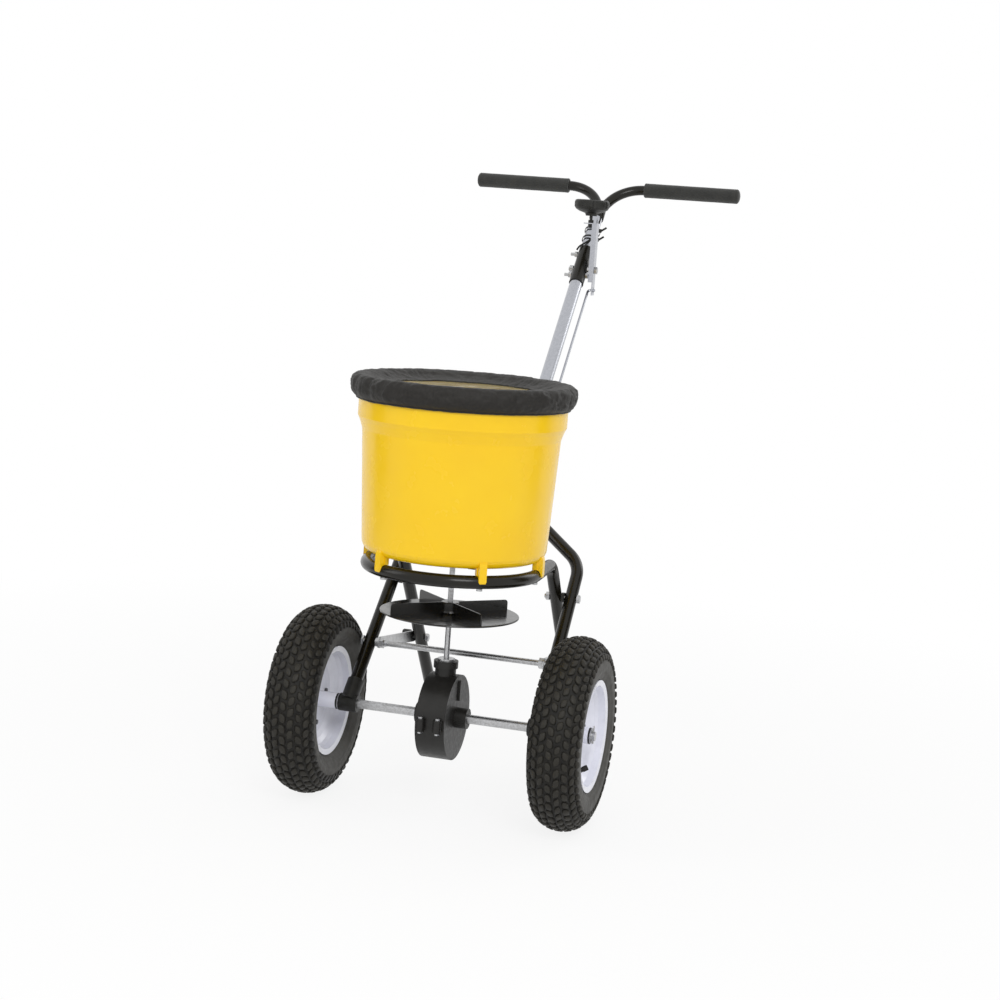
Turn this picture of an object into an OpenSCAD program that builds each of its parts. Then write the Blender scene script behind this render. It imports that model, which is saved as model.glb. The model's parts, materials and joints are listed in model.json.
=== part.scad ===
// Walk-behind broadcast spreader: two pneumatic wheels turn an axle, a crown gear
// and pinion turn the upright shaft, and the finned disc under the hopper throws
// the granules. A lever on the handle slides the shutter under the hopper floor.
// Axes: +X right, +Y towards the person pushing, +Z up, origin on the ground
// under the middle of the outline.

/* [Wheels] */
// Outside diameter of the tyres
tyre_d = 330; // [300:1:360]
// Width of the tyres
tyre_w = 90; // [76:1:96]
// Distance between the wheel centres
track = 460; // [450:1:480]
// Diameter over the rim flanges
rim_d = 190; // [160:1:200]
// Bolts in each rim
rim_bolts = 4; // [3:1:6]

/* [Axle and gears] */
// Diameter of the axle
axle_d = 15.9; // [12:0.1:18]
// Diameter of the upright shaft
shaft_d = 9.5; // [8:0.1:10]
// Tooth size of the crown gear and pinion, pitch diameter over tooth count
gear_module = 2.4; // [2:0.1:2.4]
// Teeth on the crown gear
crown_teeth = 48; // [40:8:48]
// Teeth on the pinion
pinion_teeth = 8; // [8:1:8]
// Radial clearance of every running fit
run_fit = 0.05; // [0.03:0.01:0.1]

/* [Hopper] */
// Radius of the hopper rim band
hopper_r = 176; // [165:1:190]
// Height of the hopper rim
hopper_top_z = 738; // [700:1:800]
// Height of the hopper underside
hopper_bottom_z = 446; // [446:1:500]
// Hopper wall thickness
hopper_wall = 3; // [2.5:0.1:4]
// Diameter of each of the three discharge ports
port_d = 24; // [18:1:26]

/* [Rain cover] */
// Outer radius of the gathered band
cover_r = 191.6; // [185:0.1:205]
// Height of the gathered band
cover_band_h = 36; // [24:1:44]
// Radius of the clear window
window_r = 125; // [90:1:140]

/* [Frame] */
// Diameter of the black frame tubes
tube_d = 22; // [20:0.5:24]
// Wall of the black frame tubes
tube_wall = 1.6; // [1.2:0.1:2.5]
// Radius of the hoop under the hopper
hoop_r = 145; // [140:1:150]
// Height of the hoop centre line
hoop_z = 425; // [400:1:425]
// Distance from the middle to each stand leg
leg_x = 138; // [134:1:142]
// Distance from the middle to each side tube at the axle
side_x = 170; // [166:1:172]

/* [Handle] */
// Rise of the handle above the horizontal, in degrees
handle_angle = 44.7; // [40:0.1:48]
// Diameter of the plated handle tube
handle_d = 25.4; // [22:0.1:28]
// Length of the lower handle tube
lower_handle_l = 620; // [560:1:680]
// Length of the upper handle tube
upper_handle_l = 165; // [140:1:200]
// Length over both grips
grip_span = 562; // [556:1:640]
// Length of one grip
grip_l = 200; // [140:1:210]
// Diameter of the foam grips
grip_d = 30; // [26:1:36]
// Diameter of the handlebar tubes
bar_d = 20; // [18:0.5:22]

/* [Spinner] */
// Radius of the throwing disc
disc_r = 119; // [100:1:124]
// Height of the throwing disc
disc_z = 344; // [330:1:346]
// Height of the fins
fin_h = 36; // [24:1:40]

/* [Control] */
// Turn of the lever each way from upright, in degrees
lever_turn = 18; // [17:0.5:20]
// Distance from the lever pivot up to its top
lever_top = 94; // [80:1:120]
// Diameter of the control rod
rod_d = 5; // [4:0.1:6]
// Diameter of the control knob
knob_d = 70; // [50:1:76]
// Height of the control knob
knob_h = 32; // [22:1:40]
// Shutter travel each way from the middle
gate_travel = 13; // [10:0.5:13]

/* [Hidden] */
$fn = 96;

// How far straights lap into bends, and how much slimmer the bends are
bend_lap = 0.3;
bend_slim = 0.02;

// Axle height, and the outline that the origin is centred under
axle_z = tyre_d / 2;
axle_r = axle_d / 2;
shaft_r = shaft_d / 2;
bar_n = 6.7;
grip_s = 1033;

// Handle plane: it starts at this point, and s is measured up it
handle_y = 198.6;
handle_z = 369.5;
ca = cos(handle_angle);
sa = sin(handle_angle);
function on_handle(s, n) = [handle_y + s * ca + n * sa, handle_z + s * sa - n * ca];
grip_yz = on_handle(grip_s, bar_n);
centre_y = (grip_yz[0] + grip_d / 2 - cover_r) / 2;

// The axle seen in the handle plane: distance up it, and distance under it
axle_s = -handle_y * ca + (axle_z - handle_z) * sa;
axle_n = -handle_y * sa - (axle_z - handle_z) * ca;

// Side tubes: a slight taper, a bend inwards, and a bend back beside the handle
side_taper = 1;
side_turn = 49;
side_bend_r = 65;
side_start_s = axle_s + axle_r + 6;
side_bend_s = 31.5;
flank_gap = 0.3;
flank_x = handle_d / 2 + flank_gap + tube_d / 2;
block_half = 16.5;
side_run = (side_bend_s - side_start_s) / cos(side_taper);
side_bend_x = side_x - side_run * sin(side_taper);
side_mid_x = side_bend_x - side_bend_r * (cos(side_taper) - cos(side_turn));
side_mid_s = side_bend_s + side_bend_r * (sin(side_turn) - sin(side_taper));
side_slant = (side_mid_x - flank_x - side_bend_r * (1 - cos(side_turn))) / sin(side_turn);
flank_s = side_mid_s + side_slant * cos(side_turn) + side_bend_r * sin(side_turn);
flank_run = 118;
function side_x_at(s) = side_x - (s - side_start_s) * tan(side_taper);

// Stand: hoop, two arms running back, and legs sloping down to the feet
leg_slope = 52;
leg_top_y = 136;
leg_bend_r = 50;
hoop_front_l = 4;
hoop_arc_r = hoop_r - hoop_front_l / 2;
arm_turn = asin((hoop_r - leg_x) / (leg_top_y + hoop_front_l / 2));
arm_from_y = -hoop_front_l / 2 + hoop_arc_r * sin(arm_turn);
leg_line_x = hoop_front_l / 2 + hoop_arc_r * cos(arm_turn) - (leg_top_y - arm_from_y) * tan(arm_turn);
function leg_y(z) = leg_top_y + (hoop_z - z) / tan(leg_slope);
foot_d = 28;
foot_gap = 3;
leg_end_z = foot_gap + tube_d / 2 * cos(leg_slope);

// Where the side tube and the stand leg cross
cross_z = (leg_top_y - handle_y + hoop_z / tan(leg_slope) + handle_z / tan(handle_angle))
    / (1 / tan(handle_angle) + 1 / tan(leg_slope));
cross_y = leg_y(cross_z);
cross_s = (cross_z - handle_z) / sa;
bolt_d = 8;
bolt_fit = 0.2;
brace_s = -158;
brace_yz = on_handle(brace_s, 0);
brace_d = 10.5;
brace_nut_h = 3.4;
brace_leg_z = 235;
strap_t = 3;
strap_w = 20;

// Handle: the lower tube, the sleeve over the joint, and the upper tube
lower_handle_s = flank_s - 32;
joint_s = lower_handle_s + lower_handle_l;
upper_end_s = joint_s + upper_handle_l;
sleeve_fit = 0.1;
sleeve_wall = 1.9;
sleeve_r = handle_d / 2 + sleeve_fit + sleeve_wall;
sleeve_from = joint_s - 53;
sleeve_to = joint_s + 42;
joint_bolt_s = [joint_s - 30, joint_s + 28];
joint_bolt_d = 6.4;
flank_bolt_s = [flank_s + 24, flank_s + flank_run - 20];

// Handlebar: two bars leave a short sleeve in a V and bend level
bar_heading = 41;
bar_bend_r = 36;
bar_wall = 1.6;
bar_straight_x = grip_span / 2 - grip_l;
bar_v_s = grip_s - bar_bend_r * (1 - sin(bar_heading));
bar_v_x = bar_straight_x - bar_bend_r * cos(bar_heading);
bar_root_s = bar_v_s - bar_v_x / tan(bar_heading);
bar_run = bar_v_x / sin(bar_heading);

// Wheels
wheel_x = track / 2;
rim_r = rim_d / 2;
rim_in = 30;
rim_out = 38;
rim_mid = (rim_out - rim_in) / 2;
rim_half = (rim_out + rim_in) / 2;
rim_sheet = 2.4;
rim_bolt_r = 44;
rim_bolt_d = 5;
valve_turn = -42;
hub_from = 38;
hub_to = 29;
hub_r = 14;
hub_bore_r = 10.5;
bush_flange = 2.5;
washer_t = 2;
axle_l = 2 * (wheel_x + hub_to + bush_flange + washer_t + 6);

// Gears: the crown gear stands beside the shaft, and its teeth face it
pinion_pitch_r = gear_module * pinion_teeth / 2;
crown_pitch_r = gear_module * crown_teeth / 2;
tooth_face = 8;
crown_tip_x = pinion_pitch_r - 0.9 * gear_module;
crown_root_x = pinion_pitch_r + 1.25 * gear_module;
pinion_z = axle_z + crown_pitch_r - tooth_face / 2 - 1;
pinion_h = tooth_face + 2;

// Gearbox
box_r = 73.4;
box_half = 25.8;
box_wall = 3;
box_split_z = axle_z - 5;
boss_d = 35;
boss_l = 20;
neck_d = 36;
collar_d = 42;
collar_z = 249.5;
collar_h = 12.5;

// Fins of the throwing disc
fin_t = 2.6;
fin_turn = 5;

// Shutter: slides along Y under the hopper floor, 0.5 mm below it
gate_t = 3;
gate_gap = 0.5;
gate_w = 116;
gate_z = hopper_bottom_z - gate_gap - gate_t;
gate_front = -74;
gate_back = 96;
gate_tail_y = 176;
guide_lip_z = gate_z - gate_gap - 3;
rod_z = hopper_bottom_z - 17;
ports = [[-34, -22], [0, -44], [34, -22]];

// Lever: it turns on a bolt through the handle joint, and its arm gives the shutter its travel
lever_arm = gate_travel / tan(lever_turn);
pivot_s = joint_s - 13;
pivot_yz = on_handle(pivot_s, 0);
pivot_d = 8;
lever_in = 19.2;
lever_out = 29.2;
lever_t = 2;
lever_w = 20;
pin_yz = [pivot_yz[0], pivot_yz[1] - lever_arm];
rod_x = 19;
knob_x = 14;
knob_z = pivot_yz[1] + lever_top + 14;

// Tether cord: its route up the front of the handle tube, as [x, s, n]
cord_d = 3.5;
cord_sides = 8;
cord_route = [
    [-17, 832, -9], [-12, 838, -14], [-4, 846, -15], [3, 854, -15], [7, 862, -13],
    [8.5, 870, -12], [9, 880, -11.6], [9.5, 890, -11.2], [11, 900, -11.5], [13, 910, -13],
    [14, 920, -16], [13, 930, -19]
];

// ---- shared shapes ----

module placed() {
    translate([0, -centre_y, 0]) children();
}

module on_handle_plane() {
    placed() translate([0, handle_y, handle_z]) rotate([handle_angle - 90, 0, 0]) children();
}

module mirrored(side) {
    if (side > 0) children();
    else mirror([1, 0, 0]) children();
}

module both_sides() {
    for (side = [-1, 1]) mirrored(side) children();
}

// A hollow round length, or a solid one where the inner radius is 0 or less
module sleeve(outer_r, inner_r, h) {
    difference() {
        cylinder(r = outer_r, h = h);
        if (inner_r > 0) translate([0, 0, -1]) cylinder(r = inner_r, h = h + 2);
    }
}

// A round bar along X between two places
module x_bar(d, from_x, to_x) {
    translate([from_x, 0, 0]) rotate([0, 90, 0]) cylinder(d = d, h = to_x - from_x);
}

module x_ring(outer_d, inner_d, from_x, to_x) {
    translate([from_x, 0, 0]) rotate([0, 90, 0]) sleeve(outer_d / 2, inner_d / 2, to_x - from_x);
}

// A hexagon along X, measured across its flats
module x_hex(across, from_x, to_x) {
    translate([from_x, 0, 0]) rotate([0, 90, 0])
        cylinder(d = across / cos(30), h = to_x - from_x, $fn = 6);
}

// A bolt along X with its head at head_x and its thread end at end_x
module x_bolt(d, head_x, end_x) {
    way = sign(head_x - end_x);
    x_bar(d, min(head_x, end_x), max(head_x, end_x));
    x_hex(1.6 * d, min(head_x, head_x + way * 0.65 * d), max(head_x, head_x + way * 0.65 * d));
}

// A nut along X, 0.8 of the bolt across, with its bore a little larger than the bolt
module x_nut(d, from_x, to_x) {
    difference() {
        x_hex(1.6 * d, from_x, to_x);
        x_bar(d + 0.1, from_x - 1, to_x + 1);
    }
}

// Bent round tube: each move is [straight run, bend radius, bend angle, roll before the bend].
// Straights run a little into the bends, and the bends are a hair slimmer, so they join cleanly.
module bent_tube(d, wall, moves, i = 0) {
    if (i < len(moves)) {
        run = moves[i][0];
        bend_r = moves[i][1];
        bend = moves[i][2];
        from = i > 0 ? -bend_lap : 0;
        to = run + (bend > 0 ? bend_lap : 0);
        if (run > 0) translate([0, 0, from]) sleeve(d / 2, d / 2 - wall, to - from);
        translate([0, 0, run]) rotate(moves[i][3]) {
            if (bend > 0)
                translate([bend_r, 0, 0]) rotate([90, 0, 180]) rotate_extrude(angle = bend)
                    translate([bend_r, 0]) difference() {
                        circle(r = d / 2 - bend_slim);
                        if (wall < d / 2) circle(r = d / 2 - wall + bend_slim);
                    }
            translate([bend_r * (1 - cos(bend)), 0, bend_r * sin(bend)]) rotate([0, bend, 0])
                bent_tube(d, wall, moves, i + 1);
        }
    }
}

// Bent solid rod: the same moves
module bent_rod(d, moves) {
    bent_tube(d, d, moves);
}

// ---- frame ----

// The hoop is made as two mirrored halves that meet at the front
module stand_hoop() {
    turn = acos(cos(leg_slope) * cos(arm_turn));
    cut = leg_bend_r * tan(turn / 2);
    arm_l = (leg_top_y - arm_from_y) / cos(arm_turn) - cut;
    leg_l = (hoop_z - leg_end_z) / sin(leg_slope) - cut;
    // Roll that carries the hoop's plane to the plane of the last bend
    roll = atan2(-sin(leg_slope), -cos(leg_slope) * sin(arm_turn));
    color([0.06, 0.06, 0.065]) placed() difference() {
        union() {
            translate([-hoop_front_l / 2 - bend_lap, -hoop_r, hoop_z]) rotate([0, 90, 0])
                sleeve(tube_d / 2, tube_d / 2 - tube_wall, hoop_front_l + 2 * bend_lap);
            both_sides() translate([hoop_front_l / 2, -hoop_r, hoop_z])
                rotate([0, 90, 0]) rotate(90) bent_tube(tube_d, tube_wall, [
                    [0, hoop_arc_r, 90 + arm_turn, 0],
                    [arm_l, leg_bend_r, turn, roll],
                    [leg_l, 0, 0, 0]
                ]);
        }
        both_sides() {
            translate([0, cross_y, cross_z])
                x_bar(bolt_d + bolt_fit, leg_line_x - 30, leg_line_x + 30);
            translate([0, leg_y(brace_leg_z), brace_leg_z])
                x_bar(bolt_d + bolt_fit, leg_line_x - 30, leg_line_x + 30);
        }
        hopper_screw_places() translate([0, 0, hoop_z - 30]) cylinder(d = 5.4, h = 60);
    }
}

module side_tube(side) {
    color([0.06, 0.06, 0.065]) on_handle_plane() mirrored(side) difference() {
        translate([side_x, 0, side_start_s]) rotate([0, -side_taper, 0])
            bent_tube(tube_d, tube_wall, [
                [side_run, side_bend_r, side_turn - side_taper, 180],
                [side_slant, side_bend_r, side_turn, 180],
                [flank_run, 0, 0, 0]
            ]);
        translate([0, 0, cross_s]) x_bar(bolt_d + bolt_fit, side_x - 40, side_x + 40);
        translate([0, 0, brace_s]) x_bar(brace_d + bolt_fit, side_x - 40, side_x + 40);
        for (s = flank_bolt_s) translate([0, 0, s]) x_bar(joint_bolt_d + bolt_fit, -60, 60);
    }
}

module left_side_tube() {
    side_tube(-1);
}

module right_side_tube() {
    side_tube(1);
}

// A moulded block on the end of the side tube, bored for the axle
module bearing_block(side) {
    color([0.07, 0.07, 0.075]) on_handle_plane() mirrored(side) difference() {
        union() {
            translate([0, axle_n, axle_s]) x_bar(axle_d + 15, side_x - block_half, side_x + block_half);
            translate([side_x, 0, axle_s]) rotate([0, -side_taper, 0]) cylinder(d = tube_d + 7, h = 42);
        }
        translate([0, axle_n, axle_s]) x_bar(axle_d + 2 * run_fit, side_x - 20, side_x + 20);
        translate([side_x, 0, side_start_s]) rotate([0, -side_taper, 0])
            cylinder(d = tube_d + 0.1, h = 80);
    }
}

module left_bearing_block() {
    bearing_block(-1);
}

module right_bearing_block() {
    bearing_block(1);
}

module brace_rod() {
    end_x = side_x_at(brace_s) + tube_d / 2 + brace_nut_h + 0.4;
    color([0.72, 0.73, 0.74]) placed() translate([0, brace_yz[0], brace_yz[1]])
        x_bar(brace_d, -end_x, end_x);
}

// Nuts outside the side tubes, and spacers that hold the straps off them
module brace_nuts() {
    tube_out = side_x_at(brace_s) + tube_d / 2;
    tube_in = side_x_at(brace_s) - tube_d / 2;
    strap_out = leg_line_x + tube_d / 2 + strap_t;
    color([0.7, 0.71, 0.72]) placed() both_sides() translate([0, brace_yz[0], brace_yz[1]]) {
        x_nut(brace_d, tube_out + 0.2, tube_out + brace_nut_h);
        x_ring(16, brace_d + 0.1, strap_out + 0.05, tube_in - 0.2);
        x_nut(brace_d, leg_line_x + tube_d / 2 - 7, leg_line_x + tube_d / 2 - 0.05);
    }
}

// Flat straps from the brace rod to the stand legs
module leg_braces() {
    dy = leg_y(brace_leg_z) - brace_yz[0];
    dz = brace_leg_z - brace_yz[1];
    strap_l = norm([dy, dz]);
    color([0.62, 0.63, 0.64]) placed() both_sides()
        translate([leg_line_x + tube_d / 2, brace_yz[0], brace_yz[1]]) rotate([atan2(dz, dy), 0, 0])
            difference() {
                union() {
                    translate([0, 0, -strap_w / 2]) cube([strap_t, strap_l, strap_w]);
                    x_bar(strap_w, 0, strap_t);
                    translate([0, strap_l, 0]) x_bar(strap_w, 0, strap_t);
                }
                x_bar(brace_d + bolt_fit, -1, strap_t + 1);
                translate([0, strap_l, 0]) x_bar(bolt_d + bolt_fit, -1, strap_t + 1);
            }
}

module leg_bolts() {
    color([0.7, 0.71, 0.72]) placed() both_sides()
        translate([0, leg_y(brace_leg_z), brace_leg_z]) {
            x_bar(bolt_d, leg_line_x - tube_d / 2 - 6, leg_line_x + tube_d / 2 + strap_t + 14);
            x_nut(bolt_d, leg_line_x - tube_d / 2 - 5.6, leg_line_x - tube_d / 2);
        }
}

// Black hand knobs that clamp the straps to the legs
module leg_knobs() {
    knob_from = leg_line_x + tube_d / 2 + strap_t;
    color([0.05, 0.05, 0.05]) placed() both_sides()
        translate([knob_from, leg_y(brace_leg_z), brace_leg_z]) rotate([0, 90, 0]) difference() {
            union() {
                cylinder(d = 13, h = 6);
                translate([0, 0, 5]) cylinder(d = 22, h = 14);
            }
            for (a = [0:60:300]) rotate(a) translate([14.5, 0, 4]) cylinder(d = 9, h = 20);
            translate([0, 0, -1]) cylinder(d = bolt_d + 0.1, h = 15.5);
        }
}

// Bolts that pin the side tubes to the stand legs
module crossing_bolts() {
    head_x = side_x_at(cross_s) + tube_d / 2;
    nut_x = leg_line_x - tube_d / 2;
    color([0.7, 0.71, 0.72]) placed() both_sides() translate([0, cross_y, cross_z]) {
        x_bolt(bolt_d, head_x + 0.2, nut_x - 9);
        x_nut(bolt_d, nut_x - 6.5, nut_x);
    }
}

module crossing_spacers() {
    color([0.12, 0.12, 0.12]) placed() both_sides() translate([0, cross_y, cross_z])
        x_ring(18, bolt_d + 0.1, leg_line_x + tube_d / 2, side_x_at(cross_s) - tube_d / 2 - 0.2);
}

// Rubber cap on the end of a stand leg, cut level at the ground
module foot(side) {
    color([0.08, 0.08, 0.08]) placed() mirrored(side) difference() {
        translate([leg_line_x, leg_y(0), 0]) rotate([90 - leg_slope, 0, 0])
            translate([0, 0, -20]) cylinder(d = foot_d, h = 64);
        translate([leg_line_x - 60, leg_y(0) - 100, -80]) cube([120, 200, 80]);
        translate([leg_line_x, leg_y(leg_end_z), leg_end_z]) rotate([90 - leg_slope, 0, 0])
            cylinder(d = tube_d + 0.1, h = 80);
    }
}

module left_foot() {
    foot(-1);
}

module right_foot() {
    foot(1);
}

// ---- hopper ----

module hopper_screw_places() {
    for (a = [0, 180, 235, 305]) rotate(a) translate([hoop_r, 0, 0]) children();
}

module hopper() {
    corner_r = 20;
    waist_r = hopper_r - 18.7;
    corner_z = hopper_bottom_z + corner_r;
    ledge_z = hopper_top_z - 72;
    outer = concat(
        [for (a = [0:15:90]) [waist_r - corner_r + corner_r * sin(a), corner_z - corner_r * cos(a)]],
        [
            [hopper_r - 8.5, ledge_z - 14], [hopper_r - 4, ledge_z], [hopper_r, ledge_z + 8],
            [hopper_r, hopper_top_z - 6], [hopper_r + 0.1, hopper_top_z]
        ]
    );
    inner = [for (p = outer) [p[0] - hopper_wall, max(p[1], hopper_bottom_z + hopper_wall)]];
    floor_t = 4;
    color([0.93, 0.72, 0.05]) placed() difference() {
        union() {
            rotate_extrude() polygon(concat(
                [[0, hopper_bottom_z]], outer,
                [for (i = [len(inner) - 1:-1:2]) [inner[i][0], inner[i][1] + (i < 7 ? 1 : 0)]],
                [[waist_r - corner_r, hopper_bottom_z + floor_t], [0, hopper_bottom_z + floor_t]]
            ));
            hopper_screw_places() translate([-4, -8, hoop_z + tube_d / 2 + 0.05])
                cube([8, 16, hopper_bottom_z + 3 - hoop_z - tube_d / 2]);
        }
        for (p = ports) translate([p[0], p[1], hopper_bottom_z - 5]) cylinder(d = port_d, h = 20);
        translate([0, 0, hopper_bottom_z - 5]) cylinder(r = shaft_r + 3, h = 20);
        hopper_screw_places() translate([0, 0, hoop_z]) cylinder(d = 5.1, h = hopper_bottom_z - hoop_z + 1);
    }
}

module hopper_screws() {
    head_z = hoop_z - tube_d / 2;
    color([0.7, 0.71, 0.72]) placed() hopper_screw_places() {
        translate([0, 0, head_z - 3.5]) cylinder(d = 10, h = 3.5);
        translate([0, 0, head_z - 1]) cylinder(d = 5, h = hopper_bottom_z + 1 - head_z);
    }
}

// Flanged bush that carries the shaft through the hopper floor
module hopper_bush() {
    color([0.85, 0.84, 0.8]) placed() translate([0, 0, hopper_bottom_z]) difference() {
        union() {
            cylinder(r = shaft_r + 2.9, h = 6);
            translate([0, 0, 4]) cylinder(r = shaft_r + 6, h = 3);
        }
        translate([0, 0, -1]) cylinder(r = shaft_r + run_fit, h = 20);
    }
}

// Channels under the floor that the shutter slides in
module shutter_guides() {
    in_x = gate_w / 2 + gate_gap;
    color([0.08, 0.08, 0.08]) placed() both_sides() difference() {
        translate([in_x - 6, gate_front - 14, guide_lip_z])
            cube([13, gate_back - gate_front + 6, hopper_bottom_z - guide_lip_z]);
        translate([in_x - 7, gate_front - 15, gate_z - gate_gap])
            cube([7, gate_back - gate_front + 8, gate_t + 4 * gate_gap]);
    }
}

// ---- rain cover ----

module rain_cover() {
    rim_gap = 0.5;
    top_t = 2.5;
    band_r = (cover_r - hopper_r) / 2;
    low_z = hopper_top_z + 7 - cover_band_h;
    top_z = hopper_top_z + rim_gap;
    color([0.05, 0.05, 0.055]) placed() rotate_extrude() polygon(concat(
        [
            [window_r, top_z], [hopper_r + rim_gap, top_z],
            [hopper_r + rim_gap, low_z], [hopper_r + 6, low_z - 3]
        ],
        [for (a = [-60:20:60]) [cover_r - band_r + band_r * cos(a), low_z + 14 + 14 * sin(a)]],
        [[hopper_r + 3, top_z + 5], [hopper_r - 10, top_z + top_t], [window_r, top_z + top_t]]
    ));
}

module cover_window() {
    color([0.8, 0.76, 0.66, 0.5]) placed() translate([0, 0, hopper_top_z + 0.5])
        cylinder(r = window_r - 0.05, h = 1.2);
}

// ---- handle ----

module lower_handle() {
    color([0.75, 0.76, 0.77]) on_handle_plane() difference() {
        translate([0, 0, lower_handle_s]) sleeve(handle_d / 2, handle_d / 2 - 1.5, lower_handle_l);
        for (s = concat(flank_bolt_s, [joint_bolt_s[0]]))
            translate([0, 0, s]) x_bar(joint_bolt_d + bolt_fit, -30, 30);
        translate([0, 0, pivot_s]) x_bar(pivot_d + bolt_fit, -30, 30);
    }
}

module upper_handle() {
    color([0.75, 0.76, 0.77]) on_handle_plane() difference() {
        translate([0, 0, joint_s + 0.2])
            sleeve(handle_d / 2, handle_d / 2 - 1.5, upper_handle_l - 0.2);
        translate([0, 0, joint_bolt_s[1]]) x_bar(joint_bolt_d + bolt_fit, -30, 30);
    }
}

module handle_coupling() {
    color([0.06, 0.06, 0.065]) on_handle_plane() difference() {
        translate([0, 0, sleeve_from])
            sleeve(sleeve_r, handle_d / 2 + sleeve_fit, sleeve_to - sleeve_from);
        for (s = joint_bolt_s) translate([0, 0, s]) x_bar(joint_bolt_d + bolt_fit, -30, 30);
        translate([0, 0, pivot_s]) x_bar(pivot_d + bolt_fit, -30, 30);
    }
}

module coupling_bolts() {
    color([0.72, 0.73, 0.74]) on_handle_plane()
        for (s = joint_bolt_s) translate([0, 0, s]) x_bolt(joint_bolt_d, sleeve_r + 0.05, -29);
}

module coupling_nuts() {
    color([0.72, 0.73, 0.74]) on_handle_plane() {
        for (s = joint_bolt_s) translate([0, 0, s]) x_nut(joint_bolt_d, -sleeve_r - 6, -sleeve_r - 0.05);
        translate([0, 0, pivot_s]) x_nut(pivot_d, -sleeve_r - 7, -sleeve_r - 0.05);
    }
}

// Bolts through both side tubes and the foot of the handle, with their nuts
module handle_bolts() {
    out_x = flank_x + tube_d / 2;
    color([0.72, 0.73, 0.74]) on_handle_plane() for (s = flank_bolt_s) translate([0, 0, s]) {
        x_bolt(joint_bolt_d, out_x + 0.05, -out_x - 8);
        x_nut(joint_bolt_d, -out_x - 6, -out_x - 0.05);
    }
}

module bar_shape(d, extra) {
    both_sides() translate([0, bar_n, bar_root_s]) rotate([0, bar_heading, 0])
        bent_rod(d, [
            [bar_run, bar_bend_r, 90 - bar_heading, 0],
            [grip_l - 3 + extra, 0, 0, 0]
        ]);
}

module handlebar() {
    collar_s = bar_root_s - 34;
    color([0.06, 0.06, 0.065]) on_handle_plane() difference() {
        union() {
            bar_shape(bar_d, 0);
            translate([0, 0, collar_s]) cylinder(r = sleeve_r, h = 40);
        }
        bar_shape(bar_d - 2 * bar_wall, 10);
        translate([0, 0, collar_s - 1]) cylinder(r = handle_d / 2 + sleeve_fit, h = upper_end_s + 1.2 - collar_s);
    }
}

// Foam sleeve with a closed outer end
module grip(side) {
    color([0.07, 0.07, 0.07]) on_handle_plane() mirrored(side) translate([0, bar_n, grip_s])
        difference() {
            union() {
                x_bar(grip_d, bar_straight_x, grip_span / 2 - 3);
                x_bar(grip_d - 5, grip_span / 2 - 3, grip_span / 2);
            }
            x_bar(bar_d + 0.1, bar_straight_x - 1, grip_span / 2 - 2.8);
        }
}

module left_grip() {
    grip(-1);
}

module right_grip() {
    grip(1);
}

// The cord is one skin swept along its route
function cord_points() = [
    for (i = [0:len(cord_route) - 1])
        let (
            a = cord_route[max(i - 1, 0)],
            b = cord_route[min(i + 1, len(cord_route) - 1)],
            way = [b[0] - a[0], b[2] - a[2], b[1] - a[1]],
            t = way / norm(way),
            side = cross(t, [0.3, 1, 0]) / norm(cross(t, [0.3, 1, 0])),
            up = cross(side, t)
        )
        for (k = [0:cord_sides - 1])
            [cord_route[i][0], cord_route[i][2], cord_route[i][1]]
                + cord_d / 2 * (cos(360 * k / cord_sides) * side + sin(360 * k / cord_sides) * up)
];

module tether_cord() {
    rings = len(cord_route);
    color([0.05, 0.05, 0.05]) on_handle_plane() polyhedron(
        points = cord_points(),
        faces = concat(
            [[for (k = [0:cord_sides - 1]) k]],
            [for (i = [0:rings - 2]) for (k = [0:cord_sides - 1])
                let (n = (k + 1) % cord_sides)
                [i * cord_sides + k, (i + 1) * cord_sides + k, (i + 1) * cord_sides + n, i * cord_sides + n]],
            [[for (k = [cord_sides - 1:-1:0]) (rings - 1) * cord_sides + k]]
        )
    );
}

// Ties that hold the cord against the handle tube
module cable_ties() {
    color([0.04, 0.04, 0.04]) on_handle_plane() for (s = [866, 892]) translate([0, 0, s]) {
        translate([1.2, -1.45, 0]) sleeve(handle_d / 2 + 3.5, handle_d / 2 + 2.3, 4);
        translate([14.6, -8, -1]) cube([6, 5, 6]);
        translate([18, -7.5, 1.4]) rotate([0, 60, -20]) cube([1.2, 4, 14]);
    }
}

// ---- drive ----

module axle() {
    color([0.6, 0.61, 0.62]) placed() translate([0, 0, axle_z]) difference() {
        x_bar(axle_d, -axle_l / 2, axle_l / 2);
        both_sides() translate([axle_l / 2 - 3.5, 0, -20]) cylinder(d = 3.4, h = 40);
    }
}

// Washers inside and outside each hub
module axle_washers() {
    inner_x = wheel_x - hub_from - bush_flange;
    outer_x = wheel_x + hub_to + bush_flange;
    color([0.7, 0.71, 0.72]) placed() translate([0, 0, axle_z]) both_sides() {
        x_ring(27, axle_d + 0.1, side_x + block_half + 0.3, inner_x - 0.3);
        x_ring(25, axle_d + 0.1, outer_x + 0.3, outer_x + 0.3 + washer_t);
    }
}

module cotter_pins() {
    color([0.7, 0.71, 0.72]) placed() translate([0, 0, axle_z]) both_sides()
        translate([axle_l / 2 - 3.5, 0, 0]) {
            translate([0, 0, -axle_r - 5]) cylinder(d = 3, h = axle_d + 9);
            translate([0, 0, axle_r + 6]) rotate([0, 90, 0]) rotate_extrude()
                translate([3.2, 0]) circle(d = 1.8, $fn = 24);
        }
}

module wheel_frame(side) {
    placed() mirrored(side) translate([wheel_x, 0, axle_z]) rotate([0, 90, 0]) children();
}

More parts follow.
